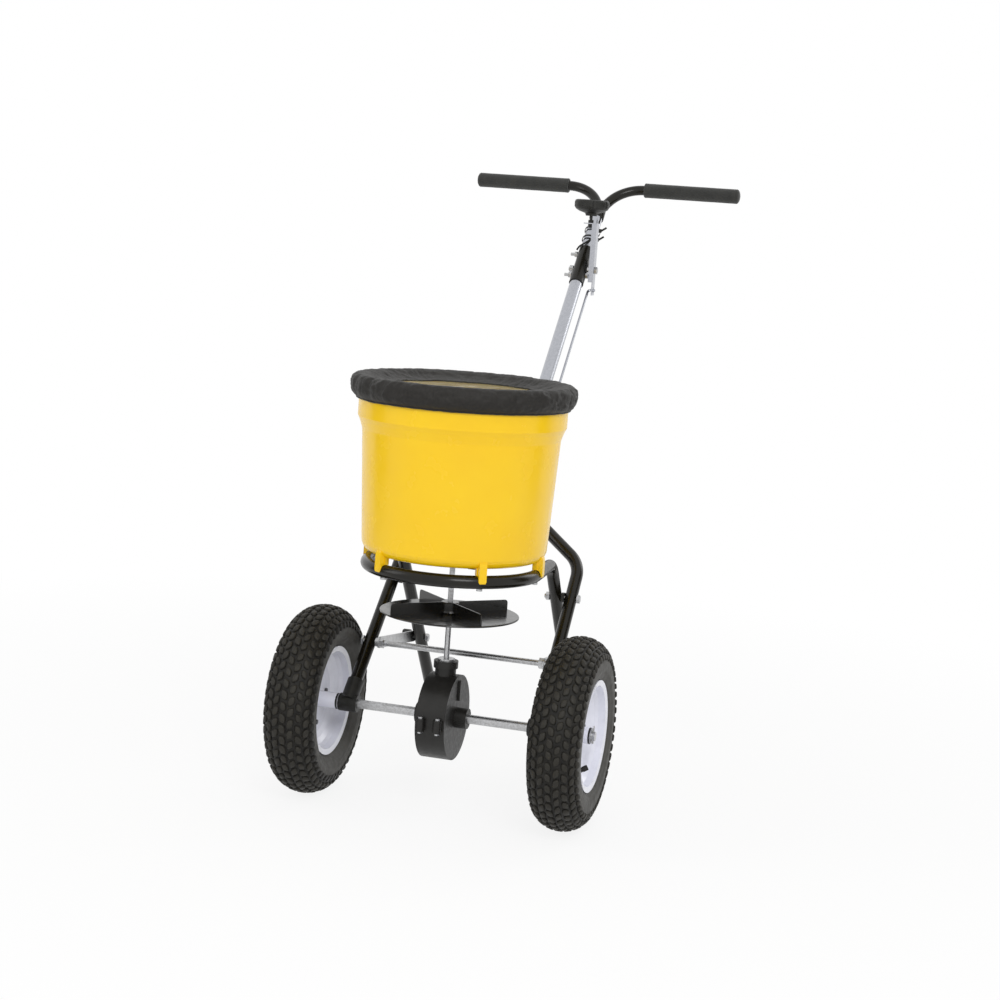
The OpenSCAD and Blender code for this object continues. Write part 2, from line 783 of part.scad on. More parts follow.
// The rim: two pressed bowls bolted back to back, with the hub tube through them.
// The half outline runs from the seam between them up to the lip and back to the hub.
module rim(side) {
    half = [
        [rim_r - 39, 0], [rim_r - 31.5, 1.7], [rim_r - 20.9, 6], [rim_r - 12.7, 12.3],
        [rim_r - 8.3, 19.8], [rim_r - 7, rim_half - 4], [rim_r, rim_half - rim_sheet],
        [rim_r, rim_half], [rim_r - 9.4, rim_half - 1.7], [rim_r - 10.8, 20.4],
        [rim_r - 14.5, 13.9], [rim_r - 22, 8.2], [rim_r - 32, 4], [rim_r - 43, rim_sheet],
        [hub_bore_r + 1, rim_sheet]
    ];
    color([0.88, 0.88, 0.86]) wheel_frame(side) difference() {
        union() {
            rotate_extrude() polygon(concat(
                [for (p = half) [p[0], rim_mid + p[1]]],
                [for (i = [len(half) - 1:-1:1]) [half[i][0], rim_mid - half[i][1]]]
            ));
            translate([0, 0, -hub_from]) cylinder(r = hub_r, h = hub_from + hub_to);
        }
        translate([0, 0, -hub_from - 1]) cylinder(r = hub_bore_r, h = hub_from + hub_to + 2);
        rim_bolt_places() translate([0, 0, -10]) cylinder(d = rim_bolt_d + 0.4, h = 20);
        valve_place() translate([0, 0, -8]) cylinder(d = 9, h = 16);
    }
}

module rim_bolt_places() {
    for (i = [0:rim_bolts - 1]) rotate(i * 360 / rim_bolts + 6) translate([rim_bolt_r, 0, rim_mid]) children();
}

// The valve stands in the sloping wall of the rim and leans outwards
module valve_place() {
    rotate(valve_turn) translate([rim_r - 17.5, 0, rim_mid + 10.1]) rotate([0, -37, 0]) children();
}

module rim_bolt_set(side) {
    color([0.35, 0.35, 0.36]) wheel_frame(side) rim_bolt_places() {
        translate([0, 0, -rim_sheet - 3]) cylinder(d = rim_bolt_d, h = 2 * rim_sheet + 8);
        translate([0, 0, -rim_sheet - 3.55]) cylinder(d = 9, h = 3.5, $fn = 6);
        translate([0, 0, rim_sheet + 0.05]) cylinder(d = 9, h = 3.6, $fn = 6);
    }
}

// Half of the tyre's section goes round its crown, and both halves end at the rim
module tyre(side) {
    half = tyre_w / 2;
    crown_r = axle_z - half;
    skin = 8;
    steps = 14;
    function crown(u, w, h) = [crown_r + h * pow(abs(sin(u)), 0.85), w * cos(u)];
    outer = [for (i = [0:steps]) crown(i * 180 / steps, half, half)];
    inner = [for (i = [0:steps]) crown(i * 180 / steps, half - skin + 2, half - skin)];
    color([0.06, 0.06, 0.065]) wheel_frame(side) rotate_extrude() polygon(concat(
        [
            [rim_r - 6.6, rim_out - 12], [rim_r - 6.6, rim_out - 4.3],
            [rim_r + 0.4, rim_out - 2.8], [rim_r + 1.5, rim_out - 1]
        ],
        outer,
        [
            [rim_r + 1.5, -rim_in + 1], [rim_r + 0.4, -rim_in + 2.8],
            [rim_r - 6.6, -rim_in + 4.3], [rim_r - 6.6, -rim_in + 12],
            [rim_r + 5, -rim_in + 8]
        ],
        [for (i = [steps:-1:0]) inner[i]],
        [[rim_r + 5, rim_out - 8]]
    ));
}

module valve(side) {
    color([0.05, 0.05, 0.05]) wheel_frame(side) valve_place() {
        translate([0, 0, -4]) cylinder(d = 8.8, h = 8);
        cylinder(d1 = 8.8, d2 = 7.6, h = 22);
        translate([0, 0, 22]) cylinder(d = 9.4, h = 9);
    }
}

// Dark flanged bushes in both ends of the hub
module wheel_bushes(side) {
    color([0.2, 0.2, 0.21]) wheel_frame(side) difference() {
        union() {
            translate([0, 0, -hub_from]) cylinder(r = hub_bore_r - 0.05, h = 20);
            translate([0, 0, -hub_from - bush_flange]) cylinder(r = hub_r, h = bush_flange);
            translate([0, 0, hub_to - 20]) cylinder(r = hub_bore_r - 0.05, h = 20);
            translate([0, 0, hub_to]) cylinder(r = hub_r, h = bush_flange);
        }
        translate([0, 0, -60]) cylinder(r = axle_r + run_fit, h = 120);
    }
}

module left_rim() {
    rim(-1);
}

module right_rim() {
    rim(1);
}

module left_tyre() {
    tyre(-1);
}

module right_tyre() {
    tyre(1);
}

module left_valve() {
    valve(-1);
}

module right_valve() {
    valve(1);
}

module left_rim_bolts() {
    rim_bolt_set(-1);
}

module right_rim_bolts() {
    rim_bolt_set(1);
}

module left_wheel_bushes() {
    wheel_bushes(-1);
}

module right_wheel_bushes() {
    wheel_bushes(1);
}

// Crown gear: a disc on the axle with teeth on its right face
module crown_gear() {
    pitch = PI * gear_module;
    root_w = 0.52 * pitch;
    tip_w = 0.2 * pitch;
    tooth_h = crown_root_x - crown_tip_x;
    color([0.55, 0.5, 0.42]) placed() translate([0, 0, axle_z]) rotate([0, 90, 0]) difference() {
        union() {
            translate([0, 0, -crown_root_x - 4.5]) cylinder(r = crown_pitch_r + tooth_face / 2 + 1.4, h = 4.5);
            translate([0, 0, -crown_root_x - 6.5]) cylinder(r = 16, h = 18);
            for (i = [0:crown_teeth - 1]) rotate(i * 360 / crown_teeth)
                translate([crown_pitch_r - tooth_face / 2, 0, -crown_root_x]) rotate([90, 0, 90])
                    linear_extrude(tooth_face) polygon([
                        [-root_w / 2, -0.5], [root_w / 2, -0.5], [root_w / 2, 0],
                        [tip_w / 2, tooth_h], [-tip_w / 2, tooth_h], [-root_w / 2, 0]
                    ]);
        }
        translate([0, 0, -60]) cylinder(r = axle_r + 0.05, h = 120);
    }
}

module spinner_shaft() {
    color([0.6, 0.61, 0.62]) placed() difference() {
        translate([0, 0, pinion_z - 6]) cylinder(r = shaft_r, h = hopper_bottom_z + 44 - pinion_z);
        pin_place() x_bar(4, -20, 20);
    }
}

module pinion() {
    half_pitch = 180 / pinion_teeth;
    root_r = pinion_pitch_r - 1.15 * gear_module;
    tip_r = pinion_pitch_r + 0.95 * gear_module;
    color([0.55, 0.5, 0.42]) placed() translate([0, 0, pinion_z]) difference() {
        union() {
            linear_extrude(pinion_h) polygon([
                for (i = [0:pinion_teeth - 1])
                    for (c = [[root_r, -0.5], [pinion_pitch_r, -0.36], [tip_r, -0.14],
                        [tip_r, 0.14], [pinion_pitch_r, 0.36], [root_r, 0.5]])
                        let (a = (2 * i + 1 + c[1]) * half_pitch) c[0] * [cos(a), sin(a)]
            ]);
            cylinder(r = root_r, h = pinion_h + 2);
        }
        translate([0, 0, -1]) cylinder(r = shaft_r + 0.05, h = pinion_h + 6);
    }
}

// ---- gearbox ----

module gearbox_outside() {
    rotate([0, 90, 0]) translate([0, 0, -box_half]) cylinder(r = box_r, h = 2 * box_half);
    both_sides() x_bar(boss_d, box_half - 1, box_half + boss_l);
    cylinder(d = neck_d, h = collar_z - axle_z);
    translate([0, 0, collar_z - axle_z]) cylinder(d = collar_d, h = collar_h);
}

module gearbox_inside() {
    in_half = box_half - box_wall;
    translate([-in_half, 0, 0]) rotate([0, 90, 0]) cylinder(r = box_r - box_wall, h = 2 * in_half);
    x_bar(axle_d + 2 * run_fit, -100, 100);
    cylinder(r = neck_d / 2 - 7, h = 200);
}

// The four clamping screws stand in ears at the front and back of both halves
module gearbox_screw_places() {
    for (x = [-15, 15]) for (side = [-1, 1]) translate([x, side * (box_r + 4.7), 0]) children();
}

module gearbox_shell() {
    placed() translate([0, 0, axle_z]) difference() {
        union() {
            gearbox_outside();
            gearbox_screw_places() translate([0, 0, -12]) cylinder(d = 15, h = 22);
            translate([box_half - 1, -4, 30]) cube([5, 8, 34]);
        }
        gearbox_inside();
        gearbox_screw_places() translate([0, 0, -40]) cylinder(d = 4.6, h = 80);
    }
}

module gearbox_top() {
    color([0.14, 0.145, 0.15]) intersection() {
        gearbox_shell();
        placed() translate([-60, -120, box_split_z]) cube([120, 240, 200]);
    }
}

module gearbox_bottom() {
    color([0.14, 0.145, 0.15]) intersection() {
        gearbox_shell();
        placed() translate([-60, -120, box_split_z - 160]) cube([120, 240, 159.9]);
    }
}

module gearbox_screws() {
    color([0.7, 0.71, 0.72]) placed() translate([0, 0, axle_z]) gearbox_screw_places() {
        translate([0, 0, -16]) cylinder(d = 4.4, h = 28);
        translate([0, 0, 10]) cylinder(d = 9, h = 3.2);
        translate([0, 0, -15.2]) cylinder(d = 9, h = 3.2, $fn = 6);
    }
}

// Bearing bush in the gearbox neck, with a plated cap over it
module neck_bush() {
    top_z = collar_z + collar_h;
    color([0.75, 0.76, 0.77]) placed() difference() {
        union() {
            translate([0, 0, top_z - 26]) cylinder(r = neck_d / 2 - 7.05, h = 26);
            translate([0, 0, top_z]) cylinder(d = 30, h = 3.5);
        }
        translate([0, 0, top_z - 40]) cylinder(r = shaft_r + run_fit, h = 60);
    }
}

// ---- spinner ----

// The cross pin through the hub of the disc, between two fins
module pin_place() {
    translate([0, 0, disc_z + 16]) rotate(fin_turn + 45) children();
}

module impeller() {
    hub_h = 30;
    color([0.1, 0.1, 0.105]) placed() translate([0, 0, disc_z]) difference() {
        union() {
            translate([0, 0, -1.5]) cylinder(r = disc_r, h = 3);
            cylinder(r = 16, h = hub_h);
            for (a = [0:90:270]) rotate(fin_turn + a)
                translate([12, -fin_t / 2, 0]) cube([disc_r - 14, fin_t, fin_h]);
        }
        translate([0, 0, -10]) cylinder(r = shaft_r + 0.05, h = hub_h + 20);
        translate([0, 0, -disc_z]) pin_place() x_bar(4, -20, 20);
    }
}

module impeller_pin() {
    color([0.7, 0.71, 0.72]) placed() pin_place() x_bar(3.9, -19, 19);
}

// Stirs the granules over the ports
module agitator() {
    base_z = hopper_bottom_z + 9;
    color([0.7, 0.71, 0.72]) placed() difference() {
        union() {
            translate([0, 0, base_z]) cylinder(r = shaft_r + 4, h = 16);
            translate([0, 0, base_z + 8]) x_bar(5, -52, 52);
            both_sides() translate([52, 0, base_z + 2]) cylinder(d = 5, h = 26);
        }
        translate([0, 0, base_z - 1]) cylinder(r = shaft_r + 0.05, h = 30);
    }
}

// ---- control ----

module lever_pivot() {
    head_x = lever_out + 0.3;
    color([0.72, 0.73, 0.74]) on_handle_plane() translate([0, 0, pivot_s]) {
        x_bolt(pivot_d, head_x, -sleeve_r - 9);
        x_ring(13, pivot_d + 0.1, sleeve_r + 0.1, lever_out - lever_t - 0.3);
    }
}

// Channel lever: a web with two side flanges, a foot for the knob and a slot for the rod
module control_lever() {
    web_x = lever_out - lever_t;
    flange_z = -lever_arm + 16;
    slot_h = lever_arm * (1 / cos(lever_turn) - 1) + rod_d / 2 + 0.8;
    slot_w = rod_d + 1;
    color([0.75, 0.76, 0.77]) placed() translate([0, pivot_yz[0], pivot_yz[1]]) difference() {
        union() {
            translate([web_x, -lever_w / 2, -lever_arm - 10]) cube([lever_t, lever_w, lever_arm + lever_top + 10]);
            for (y = [-lever_w / 2, lever_w / 2 - lever_t])
                translate([lever_in, y, flange_z]) cube([lever_out - lever_in, lever_t, lever_top - flange_z]);
            translate([knob_x - 12, -lever_w / 2, lever_top - lever_t])
                cube([lever_out - knob_x + 12, lever_w, lever_t]);
        }
        x_bar(pivot_d + 2 * run_fit, 0, 60);
        translate([web_x - 1, -slot_w / 2, -lever_arm - slot_h]) cube([lever_t + 2, slot_w, 2 * slot_h]);
        translate([knob_x, 0, lever_top - 10]) cylinder(d = 6.2, h = 20);
    }
}

// Round knob with shallow flutes, a flat top and a tapered underside, on a threaded stud
module control_knob() {
    r = knob_d / 2;
    color([0.05, 0.05, 0.05]) placed() translate([knob_x, pivot_yz[0], knob_z]) {
        difference() {
            rotate_extrude() polygon([
                [0, 0], [11, 0], [13, 5], [r - 10, 9], [r - 3, 13], [r, 18], [r, knob_h - 5],
                [r - 1.6, knob_h - 1.6], [r - 5, knob_h], [0, knob_h]
            ]);
            for (a = [0:45:315]) rotate(a + 22.5) translate([r + 6.2, 0, -1]) cylinder(r = 8, h = knob_h + 2);
        }
        translate([0, 0, -14 - lever_t - 8]) cylinder(d = 6, h = 30);
        translate([0, 0, -14 - lever_t - 5.5]) cylinder(d = 11, h = 5.5, $fn = 6);
        translate([0, 0, -14]) cylinder(d = 11, h = 6, $fn = 6);
    }
}

module shutter_plate() {
    tail_w = 34;
    slot_w = 2 * shaft_r + 6;
    color([0.68, 0.69, 0.7]) placed() difference() {
        union() {
            translate([-gate_w / 2, gate_front, gate_z]) cube([gate_w, gate_back - gate_front, gate_t]);
            translate([-tail_w / 2 + 6, gate_back - 1, gate_z])
                cube([tail_w, gate_tail_y - gate_back + 1, gate_t]);
            translate([-tail_w / 2 + 6, gate_tail_y - gate_t, rod_z - 8])
                cube([tail_w, gate_t, gate_z + gate_t - rod_z + 8]);
        }
        for (p = ports) translate([p[0], p[1] - gate_travel, gate_z - 1]) cylinder(d = port_d, h = gate_t + 2);
        translate([-slot_w / 2, -gate_travel - 3, gate_z - 1])
            cube([slot_w, 2 * gate_travel + 6, gate_t + 2]);
        for (y = [-gate_travel - 3, gate_travel + 3]) translate([0, y, gate_z - 1])
            cylinder(d = slot_w, h = gate_t + 2);
        translate([rod_x, gate_tail_y + 5, rod_z]) rotate([90, 0, 0]) cylinder(d = rod_d + 0.2, h = 12);
    }
}

// Control rod: level behind the shutter, then up under the handle to the lever pin
module control_rod() {
    bend_r = 16;
    pin_bend_r = 6;
    // The rod's distance under the handle axis, and where its level part turns up
    rod_n = (pin_yz[0] - handle_y) * sa - (pin_yz[1] - handle_z) * ca;
    corner_s = (rod_z - handle_z + rod_n * ca) / sa;
    corner_y = on_handle(corner_s, rod_n)[0];
    cut = bend_r * tan(handle_angle / 2);
    level = corner_y - cut - (gate_tail_y - gate_t - 7);
    pin_s = (pin_yz[0] - handle_y) * ca + (pin_yz[1] - handle_z) * sa;
    slope = pin_s - corner_s - cut - pin_bend_r;
    color([0.75, 0.76, 0.77]) placed() {
        translate([rod_x, gate_tail_y - gate_t - 7, rod_z]) rotate([-90, 0, 0]) rotate(-90)
            bent_rod(rod_d, [
                [level, bend_r, handle_angle, 0],
                [slope, pin_bend_r, 90, 90],
                [lever_out + 4 - rod_x - pin_bend_r, 0, 0, 0]
            ]);
        translate([rod_x, gate_tail_y + 3, rod_z]) rotate([90, 0, 0]) cylinder(d = 10, h = 3);
        translate([rod_x, gate_tail_y - gate_t, rod_z]) rotate([90, 0, 0]) cylinder(d = 10, h = 3);
    }
}

stand_hoop();
left_side_tube();
right_side_tube();
left_bearing_block();
right_bearing_block();
brace_rod();
brace_nuts();
leg_braces();
leg_knobs();
leg_bolts();
crossing_bolts();
crossing_spacers();
left_foot();
right_foot();
hopper();
hopper_screws();
hopper_bush();
shutter_guides();
rain_cover();
cover_window();
lower_handle();
handle_bolts();
handle_coupling();
coupling_bolts();
coupling_nuts();
upper_handle();
handlebar();
left_grip();
right_grip();
lever_pivot();
gearbox_top();
gearbox_bottom();
gearbox_screws();
neck_bush();
tether_cord();
cable_ties();
axle();
left_rim();
left_tyre();
left_valve();
left_rim_bolts();
left_wheel_bushes();
right_rim();
right_tyre();
right_valve();
right_rim_bolts();
right_wheel_bushes();
axle_washers();
cotter_pins();
crown_gear();
spinner_shaft();
pinion();
impeller();
impeller_pin();
agitator();
control_lever();
control_knob();
shutter_plate();
control_rod();
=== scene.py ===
import json
import math
import random

import bmesh
import bpy
import numpy as np
from mathutils import Matrix, Vector, noise


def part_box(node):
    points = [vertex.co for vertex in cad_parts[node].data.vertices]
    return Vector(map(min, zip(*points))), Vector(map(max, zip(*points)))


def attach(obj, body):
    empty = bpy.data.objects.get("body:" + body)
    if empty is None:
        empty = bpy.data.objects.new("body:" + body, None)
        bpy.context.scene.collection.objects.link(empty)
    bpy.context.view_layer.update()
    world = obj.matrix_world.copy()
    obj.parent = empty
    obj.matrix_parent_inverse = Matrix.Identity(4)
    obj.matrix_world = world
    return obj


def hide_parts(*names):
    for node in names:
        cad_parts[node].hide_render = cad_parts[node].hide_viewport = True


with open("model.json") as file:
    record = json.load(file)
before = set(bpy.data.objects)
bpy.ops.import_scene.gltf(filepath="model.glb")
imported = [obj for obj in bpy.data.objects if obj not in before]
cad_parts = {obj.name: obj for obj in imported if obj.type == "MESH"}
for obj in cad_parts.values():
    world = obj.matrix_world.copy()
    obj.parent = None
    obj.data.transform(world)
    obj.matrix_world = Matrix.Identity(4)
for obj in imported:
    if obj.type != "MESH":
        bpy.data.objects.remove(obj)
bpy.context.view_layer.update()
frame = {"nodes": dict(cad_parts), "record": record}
nodes = frame["nodes"]
MM = 0.001

# ---------------------------------------------------------------- camera

CAMERA_PLACE = Vector((0.9837, -3.6871, 1.0169))
CAMERA_AZIMUTH = math.radians(15.37)
CAMERA_DROP = math.radians(7.81)
CAMERA_ROLL = math.radians(4.07)
CAMERA_LENS_MM = 74.2


def make_camera():
    a, e, roll = CAMERA_AZIMUTH, CAMERA_DROP, CAMERA_ROLL
    forward = Vector((-math.sin(a) * math.cos(e), math.cos(a) * math.cos(e), -math.sin(e)))
    level = Vector((math.cos(a), math.sin(a), 0))
    upright = level.cross(forward)
    across = level * math.cos(roll) + upright * math.sin(roll)
    up = upright * math.cos(roll) - level * math.sin(roll)
    data = bpy.data.cameras.new("camera")
    data.lens = CAMERA_LENS_MM
    data.sensor_width = 36
    camera = bpy.data.objects.new("camera", data)
    bpy.context.scene.collection.objects.link(camera)
    turn = Matrix((across, up, -forward)).transposed()
    camera.matrix_world = Matrix.Translation(CAMERA_PLACE) @ turn.to_4x4()
    bpy.context.scene.camera = camera


make_camera()

# ---------------------------------------------------------------- places taken from the frame


def middle(node):
    low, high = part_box(node)
    return (low + high) / 2


def size(node):
    low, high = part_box(node)
    return high - low


HOPPER = middle("hopper")
HOPPER_R = size("hopper").x / 2
HOPPER_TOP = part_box("hopper")[1].z
WINDOW_R = size("cover_window").x / 2
WHEEL_R = size("left_tyre").z / 2
TYRE_HALF = size("left_tyre").x / 2
RIM_R = size("left_rim").z / 2

# The handle's plane: s runs up the handle and n points under it, as in the part's source
HANDLE_TURN = math.radians(44.7)
HANDLE_UP = Vector((0, math.cos(HANDLE_TURN), math.sin(HANDLE_TURN)))
HANDLE_UNDER = Vector((0, math.sin(HANDLE_TURN), -math.cos(HANDLE_TURN)))
HANDLE_D = size("lower_handle").x
GRIP_S = 1033 * MM
GRIP_N = 6.7 * MM
GRIP = middle("left_grip")
HANDLE_FOOT = Vector((0, GRIP.y, GRIP.z)) - HANDLE_UP * GRIP_S - HANDLE_UNDER * GRIP_N


def on_handle(x, s, n):
    return HANDLE_FOOT + Vector((x, 0, 0)) + HANDLE_UP * s + HANDLE_UNDER * n


# ---------------------------------------------------------------- materials


def srgb(red, green, blue):
    def linear(value):
        value /= 255
        return value / 12.92 if value < 0.04045 else ((value + 0.055) / 1.055) ** 2.4

    return (linear(red), linear(green), linear(blue), 1)


class Look:
    """A Principled material with a few procedural textures in object space."""

    def __init__(self, name, color, roughness, metallic=0.0, **sockets):
        self.material = bpy.data.materials.new(name)
        self.material.use_nodes = True
        self.tree = self.material.node_tree
        self.shader = self.tree.nodes["Principled BSDF"]
        self.color = color
        self.shader.inputs["Base Color"].default_value = color
        self.shader.inputs["Roughness"].default_value = roughness
        self.shader.inputs["Metallic"].default_value = metallic
        for socket, value in sockets.items():
            self.shader.inputs[socket.replace("_", " ")].default_value = value
        self.place = self.tree.nodes.new("ShaderNodeTexCoord").outputs["Object"]
        self.normal = None

    def add(self, kind, **values):
        made = self.tree.nodes.new(kind)
        for name, value in values.items():
            socket = made.inputs.get(name.replace("_", " ").title())
            if socket is not None:
                socket.default_value = value
            else:
                setattr(made, name, value)
        return made

    def join(self, output, socket):
        self.tree.links.new(output, socket)

    def stretched(self, turn, scale):
        """Object coordinates turned and scaled, for streaks and weave."""
        mapping = self.add("ShaderNodeMapping")
        mapping.inputs["Rotation"].default_value = turn
        mapping.inputs["Scale"].default_value = scale
        self.join(self.place, mapping.inputs["Vector"])
        return mapping.outputs["Vector"]

    def noise(self, scale, detail=3.0, place=None, roughness=0.55):
        made = self.add("ShaderNodeTexNoise", scale=scale, detail=detail, roughness=roughness)
        self.join(place or self.place, made.inputs["Vector"])
        return made.outputs["Fac"]

    def between(self, factor, low, high, from_low=0.3, from_high=0.7):
        made = self.add("ShaderNodeMapRange")
        made.inputs["From Min"].default_value = from_low
        made.inputs["From Max"].default_value = from_high
        made.inputs["To Min"].default_value = low
        made.inputs["To Max"].default_value = high
        self.join(factor, made.inputs["Value"])
        return made.outputs["Result"]

    def tint(self, factor, other, from_low=0.3, from_high=0.7):
        """Colour runs from the look's own colour to the other one."""
        mix = self.add("ShaderNodeMix", data_type="RGBA")
        mix.inputs[6].default_value = self.color
        mix.inputs[7].default_value = other
        self.join(self.between(factor, 0, 1, from_low, from_high), mix.inputs[0])
        self.join(mix.outputs[2], self.shader.inputs["Base Color"])

    def uneven(self, factor, low, high):
        self.join(self.between(factor, low, high), self.shader.inputs["Roughness"])

    def bump(self, height, distance, strength=1.0):
        made = self.add("ShaderNodeBump", strength=strength, distance=distance)
        self.join(height, made.inputs["Height"])
        if self.normal is not None:
            self.join(self.normal, made.inputs["Normal"])
        self.normal = made.outputs["Normal"]
        self.join(self.normal, self.shader.inputs["Normal"])


def powder_coat():
    look = Look("black_powder_coat", srgb(17, 15, 10), 0.22, Specular_IOR_Level=0.32)
    look.tint(look.noise(35), srgb(25, 22, 14))
    look.uneven(look.noise(60), 0.16, 0.27)
    look.bump(look.noise(420, 2), 0.00012, 0.5)
    return look.material


def plated_tube():
    look = Look("plated_tube", srgb(184, 186, 192), 0.22, metallic=1.0)
    along = look.stretched((-HANDLE_TURN, 0, 0), (240, 6, 240))
    look.tint(look.noise(1.0, 2, along), srgb(174, 176, 182))
    look.uneven(look.noise(1.0, 2, along), 0.2, 0.26)
    return look.material


def zinc():
    look = Look("zinc_plate", srgb(196, 197, 199), 0.32, metallic=1.0)
    look.tint(look.noise(260), srgb(168, 168, 168))
    look.uneven(look.noise(130), 0.26, 0.42)
    look.bump(look.noise(900, 2), 0.00005, 0.5)
    return look.material


def dark_steel():
    look = Look("dark_steel", srgb(96, 96, 98), 0.34, metallic=1.0)
    look.tint(look.noise(200), srgb(72, 72, 74))
    look.uneven(look.noise(150), 0.28, 0.45)
    return look.material


def greased_metal():
    look = Look("greased_gear_metal", srgb(150, 142, 126), 0.35, metallic=1.0)
    look.tint(look.noise(180), srgb(96, 84, 62))
    look.uneven(look.noise(120), 0.2, 0.5)
    return look.material


def black_plastic():
    look = Look("black_plastic", srgb(26, 26, 23), 0.4, Specular_IOR_Level=0.35)
    look.tint(look.noise(90), srgb(35, 35, 32))
    look.uneven(look.noise(140), 0.36, 0.5)
    look.bump(look.noise(1500, 2), 0.00008, 0.6)
    return look.material


def grey_plastic():
    look = Look("grey_plastic", srgb(27, 26, 24), 0.42, Specular_IOR_Level=0.35)
    look.tint(look.noise(45), srgb(36, 35, 33))
    look.uneven(look.noise(120), 0.34, 0.48)
    look.bump(look.noise(1300, 2), 0.0001, 0.7)
    return look.material


def rubber():
    look = Look("black_rubber", srgb(29, 28, 26), 0.7, Specular_IOR_Level=0.3)
    look.tint(look.noise(150), srgb(41, 40, 37))
    look.bump(look.noise(1100, 2), 0.00012, 0.6)
    return look.material


def foam():
    look = Look("grip_foam", srgb(34, 35, 33), 0.86, Sheen_Weight=0.2, Sheen_Roughness=0.6)
    cells = look.add("ShaderNodeTexVoronoi", scale=900.0)
    look.join(look.place, cells.inputs["Vector"])
    look.tint(look.noise(60), srgb(47, 47, 44))
    look.bump(cells.outputs["Distance"], 0.00025, 0.7)
    look.bump(look.noise(120, 3), 0.0003, 0.4)
    return look.material


def white_enamel():
    look = Look("white_enamel", srgb(236, 237, 247), 0.2, Coat_Weight=0.3, Coat_Roughness=0.08)
    look.tint(look.noise(30), srgb(228, 229, 239))
    look.bump(look.noise(300, 2), 0.0001, 0.35)
    return look.material


def yellow_plastic():
    look = Look("yellow_plastic", srgb(253, 208, 14), 0.24, Specular_IOR_Level=0.45)
    look.tint(look.noise(9), srgb(250, 202, 10))
    look.uneven(look.noise(22), 0.2, 0.3)
    look.bump(look.noise(160, 2), 0.00015, 0.3)
    look.bump(look.noise(12, 2), 0.0006, 0.25)
    return look.material


def gloss_plastic():
    look = Look("gloss_black_plastic", srgb(25, 24, 22), 0.16, Specular_IOR_Level=0.5)
    look.tint(look.noise(60), srgb(33, 32, 29))
    look.uneven(look.noise(90), 0.12, 0.22)
    return look.material


def cream_plastic():
    look = Look("natural_nylon", srgb(232, 228, 214), 0.4)
    look.tint(look.noise(120), srgb(218, 212, 194))
    return look.material


def tyre_rubber():
    """A point attribute runs from 0 in the grooves through 0.5 on the studs to 1 on the sidewall: the
    dark grooves and stud feet are painted shade, the studs lighter and the sidewall palest.
    """
    look = Look("tyre_rubber", srgb(20, 19, 16), 0.66, Specular_IOR_Level=0.3)
    painted_groove_shade = look.add("ShaderNodeAttribute", attribute_name="painted_groove_shade")
    # Painted shade: grooves darkest (12,11,9), studs lighter (40,38,33), sidewall palest (78,77,74).
    ramp = look.add("ShaderNodeValToRGB")
    ramp.color_ramp.elements[0].color = srgb(12, 11, 9)
    ramp.color_ramp.elements[1].color = srgb(78, 77, 74)
    ramp.color_ramp.elements.new(0.5).color = srgb(40, 38, 33)
    dust = look.add("ShaderNodeMix", data_type="RGBA")
    look.join(look.between(look.noise(70, 4), 0, 0.4), dust.inputs[0])
    look.join(painted_groove_shade.outputs["Fac"], ramp.inputs["Fac"])
    look.join(ramp.outputs["Color"], dust.inputs[6])
    dust.inputs[7].default_value = srgb(50, 47, 40)
    look.join(dust.outputs[2], look.shader.inputs["Base Color"])
    look.uneven(look.noise(90), 0.5, 0.7)
    look.bump(look.noise(700, 3), 0.00025, 0.5)
    return look.material


def nylon_weave():
    look = Look("nylon_weave", srgb(22, 20, 17), 0.6, Sheen_Weight=0.05, Specular_IOR_Level=0.35)
    look.tint(look.noise(260, 4), srgb(34, 31, 27))
    for turn in (0, math.pi / 2):
        threads = look.add("ShaderNodeTexWave", scale=420.0, bands_direction="X")
        look.join(look.stretched((0, 0, turn), (1, 1, 1)), threads.inputs["Vector"])
        look.bump(threads.outputs["Fac"], 0.0001, 0.5)
    look.bump(look.noise(75, 4), 0.0008, 0.5)
    return look.material


def vinyl():
    look = Look("clear_vinyl", srgb(240, 222, 160), 0.14, Alpha=0.5, Specular_IOR_Level=0.8)
    look.uneven(look.noise(30), 0.08, 0.2)
    look.bump(look.noise(18, 2), 0.003, 0.5)
    return look.material


LOOKS = {
    "black_tube": powder_coat(),
    "plated_tube": plated_tube(),
    "zinc": zinc(),
    "black_plastic": black_plastic(),
    "black_rubber": rubber(),
    "tyre_rubber": tyre_rubber(),
    "white_steel": white_enamel(),
    "dark_steel": dark_steel(),
    "grey_plastic": grey_plastic(),
    "yellow_plastic": yellow_plastic(),
    "cream_plastic": cream_plastic(),
    "gear_metal": greased_metal(),
    "cover_fabric": nylon_weave(),
    "cover_vinyl": vinyl(),
    "grip_foam": foam(),
}


def dress_cad_nodes():
    """Each CAD node takes the look of the record's slot that it names."""
    for part in frame["record"]["subparts"]:
        made = LOOKS[part["material_slot"]]
        for slot in nodes[part["node"]].material_slots:
            slot.material = made


# ---------------------------------------------------------------- mesh helpers


def new_piece(name, points, faces, slot, body, smooth=True):
    mesh = bpy.data.meshes.new(name)
    mesh.from_pydata([tuple(p) for p in points], [], faces)
    mesh.materials.append(LOOKS[slot])
    mesh.polygons.foreach_set("use_smooth", [smooth] * len(mesh.polygons))
    piece = bpy.data.objects.new(name, mesh)
    bpy.context.scene.collection.objects.link(piece)
    shape = bmesh.new()
    shape.from_mesh(mesh)
    bmesh.ops.recalc_face_normals(shape, faces=shape.faces)
    shape.to_mesh(mesh)
    shape.free()
    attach(piece, body)
    return piece


def put_in(points, faces, more):
    """Adds another form's points and faces to these lists."""
    first = len(points)
    points += more[0]
    faces += [tuple(first + i for i in face) for face in more[1]]


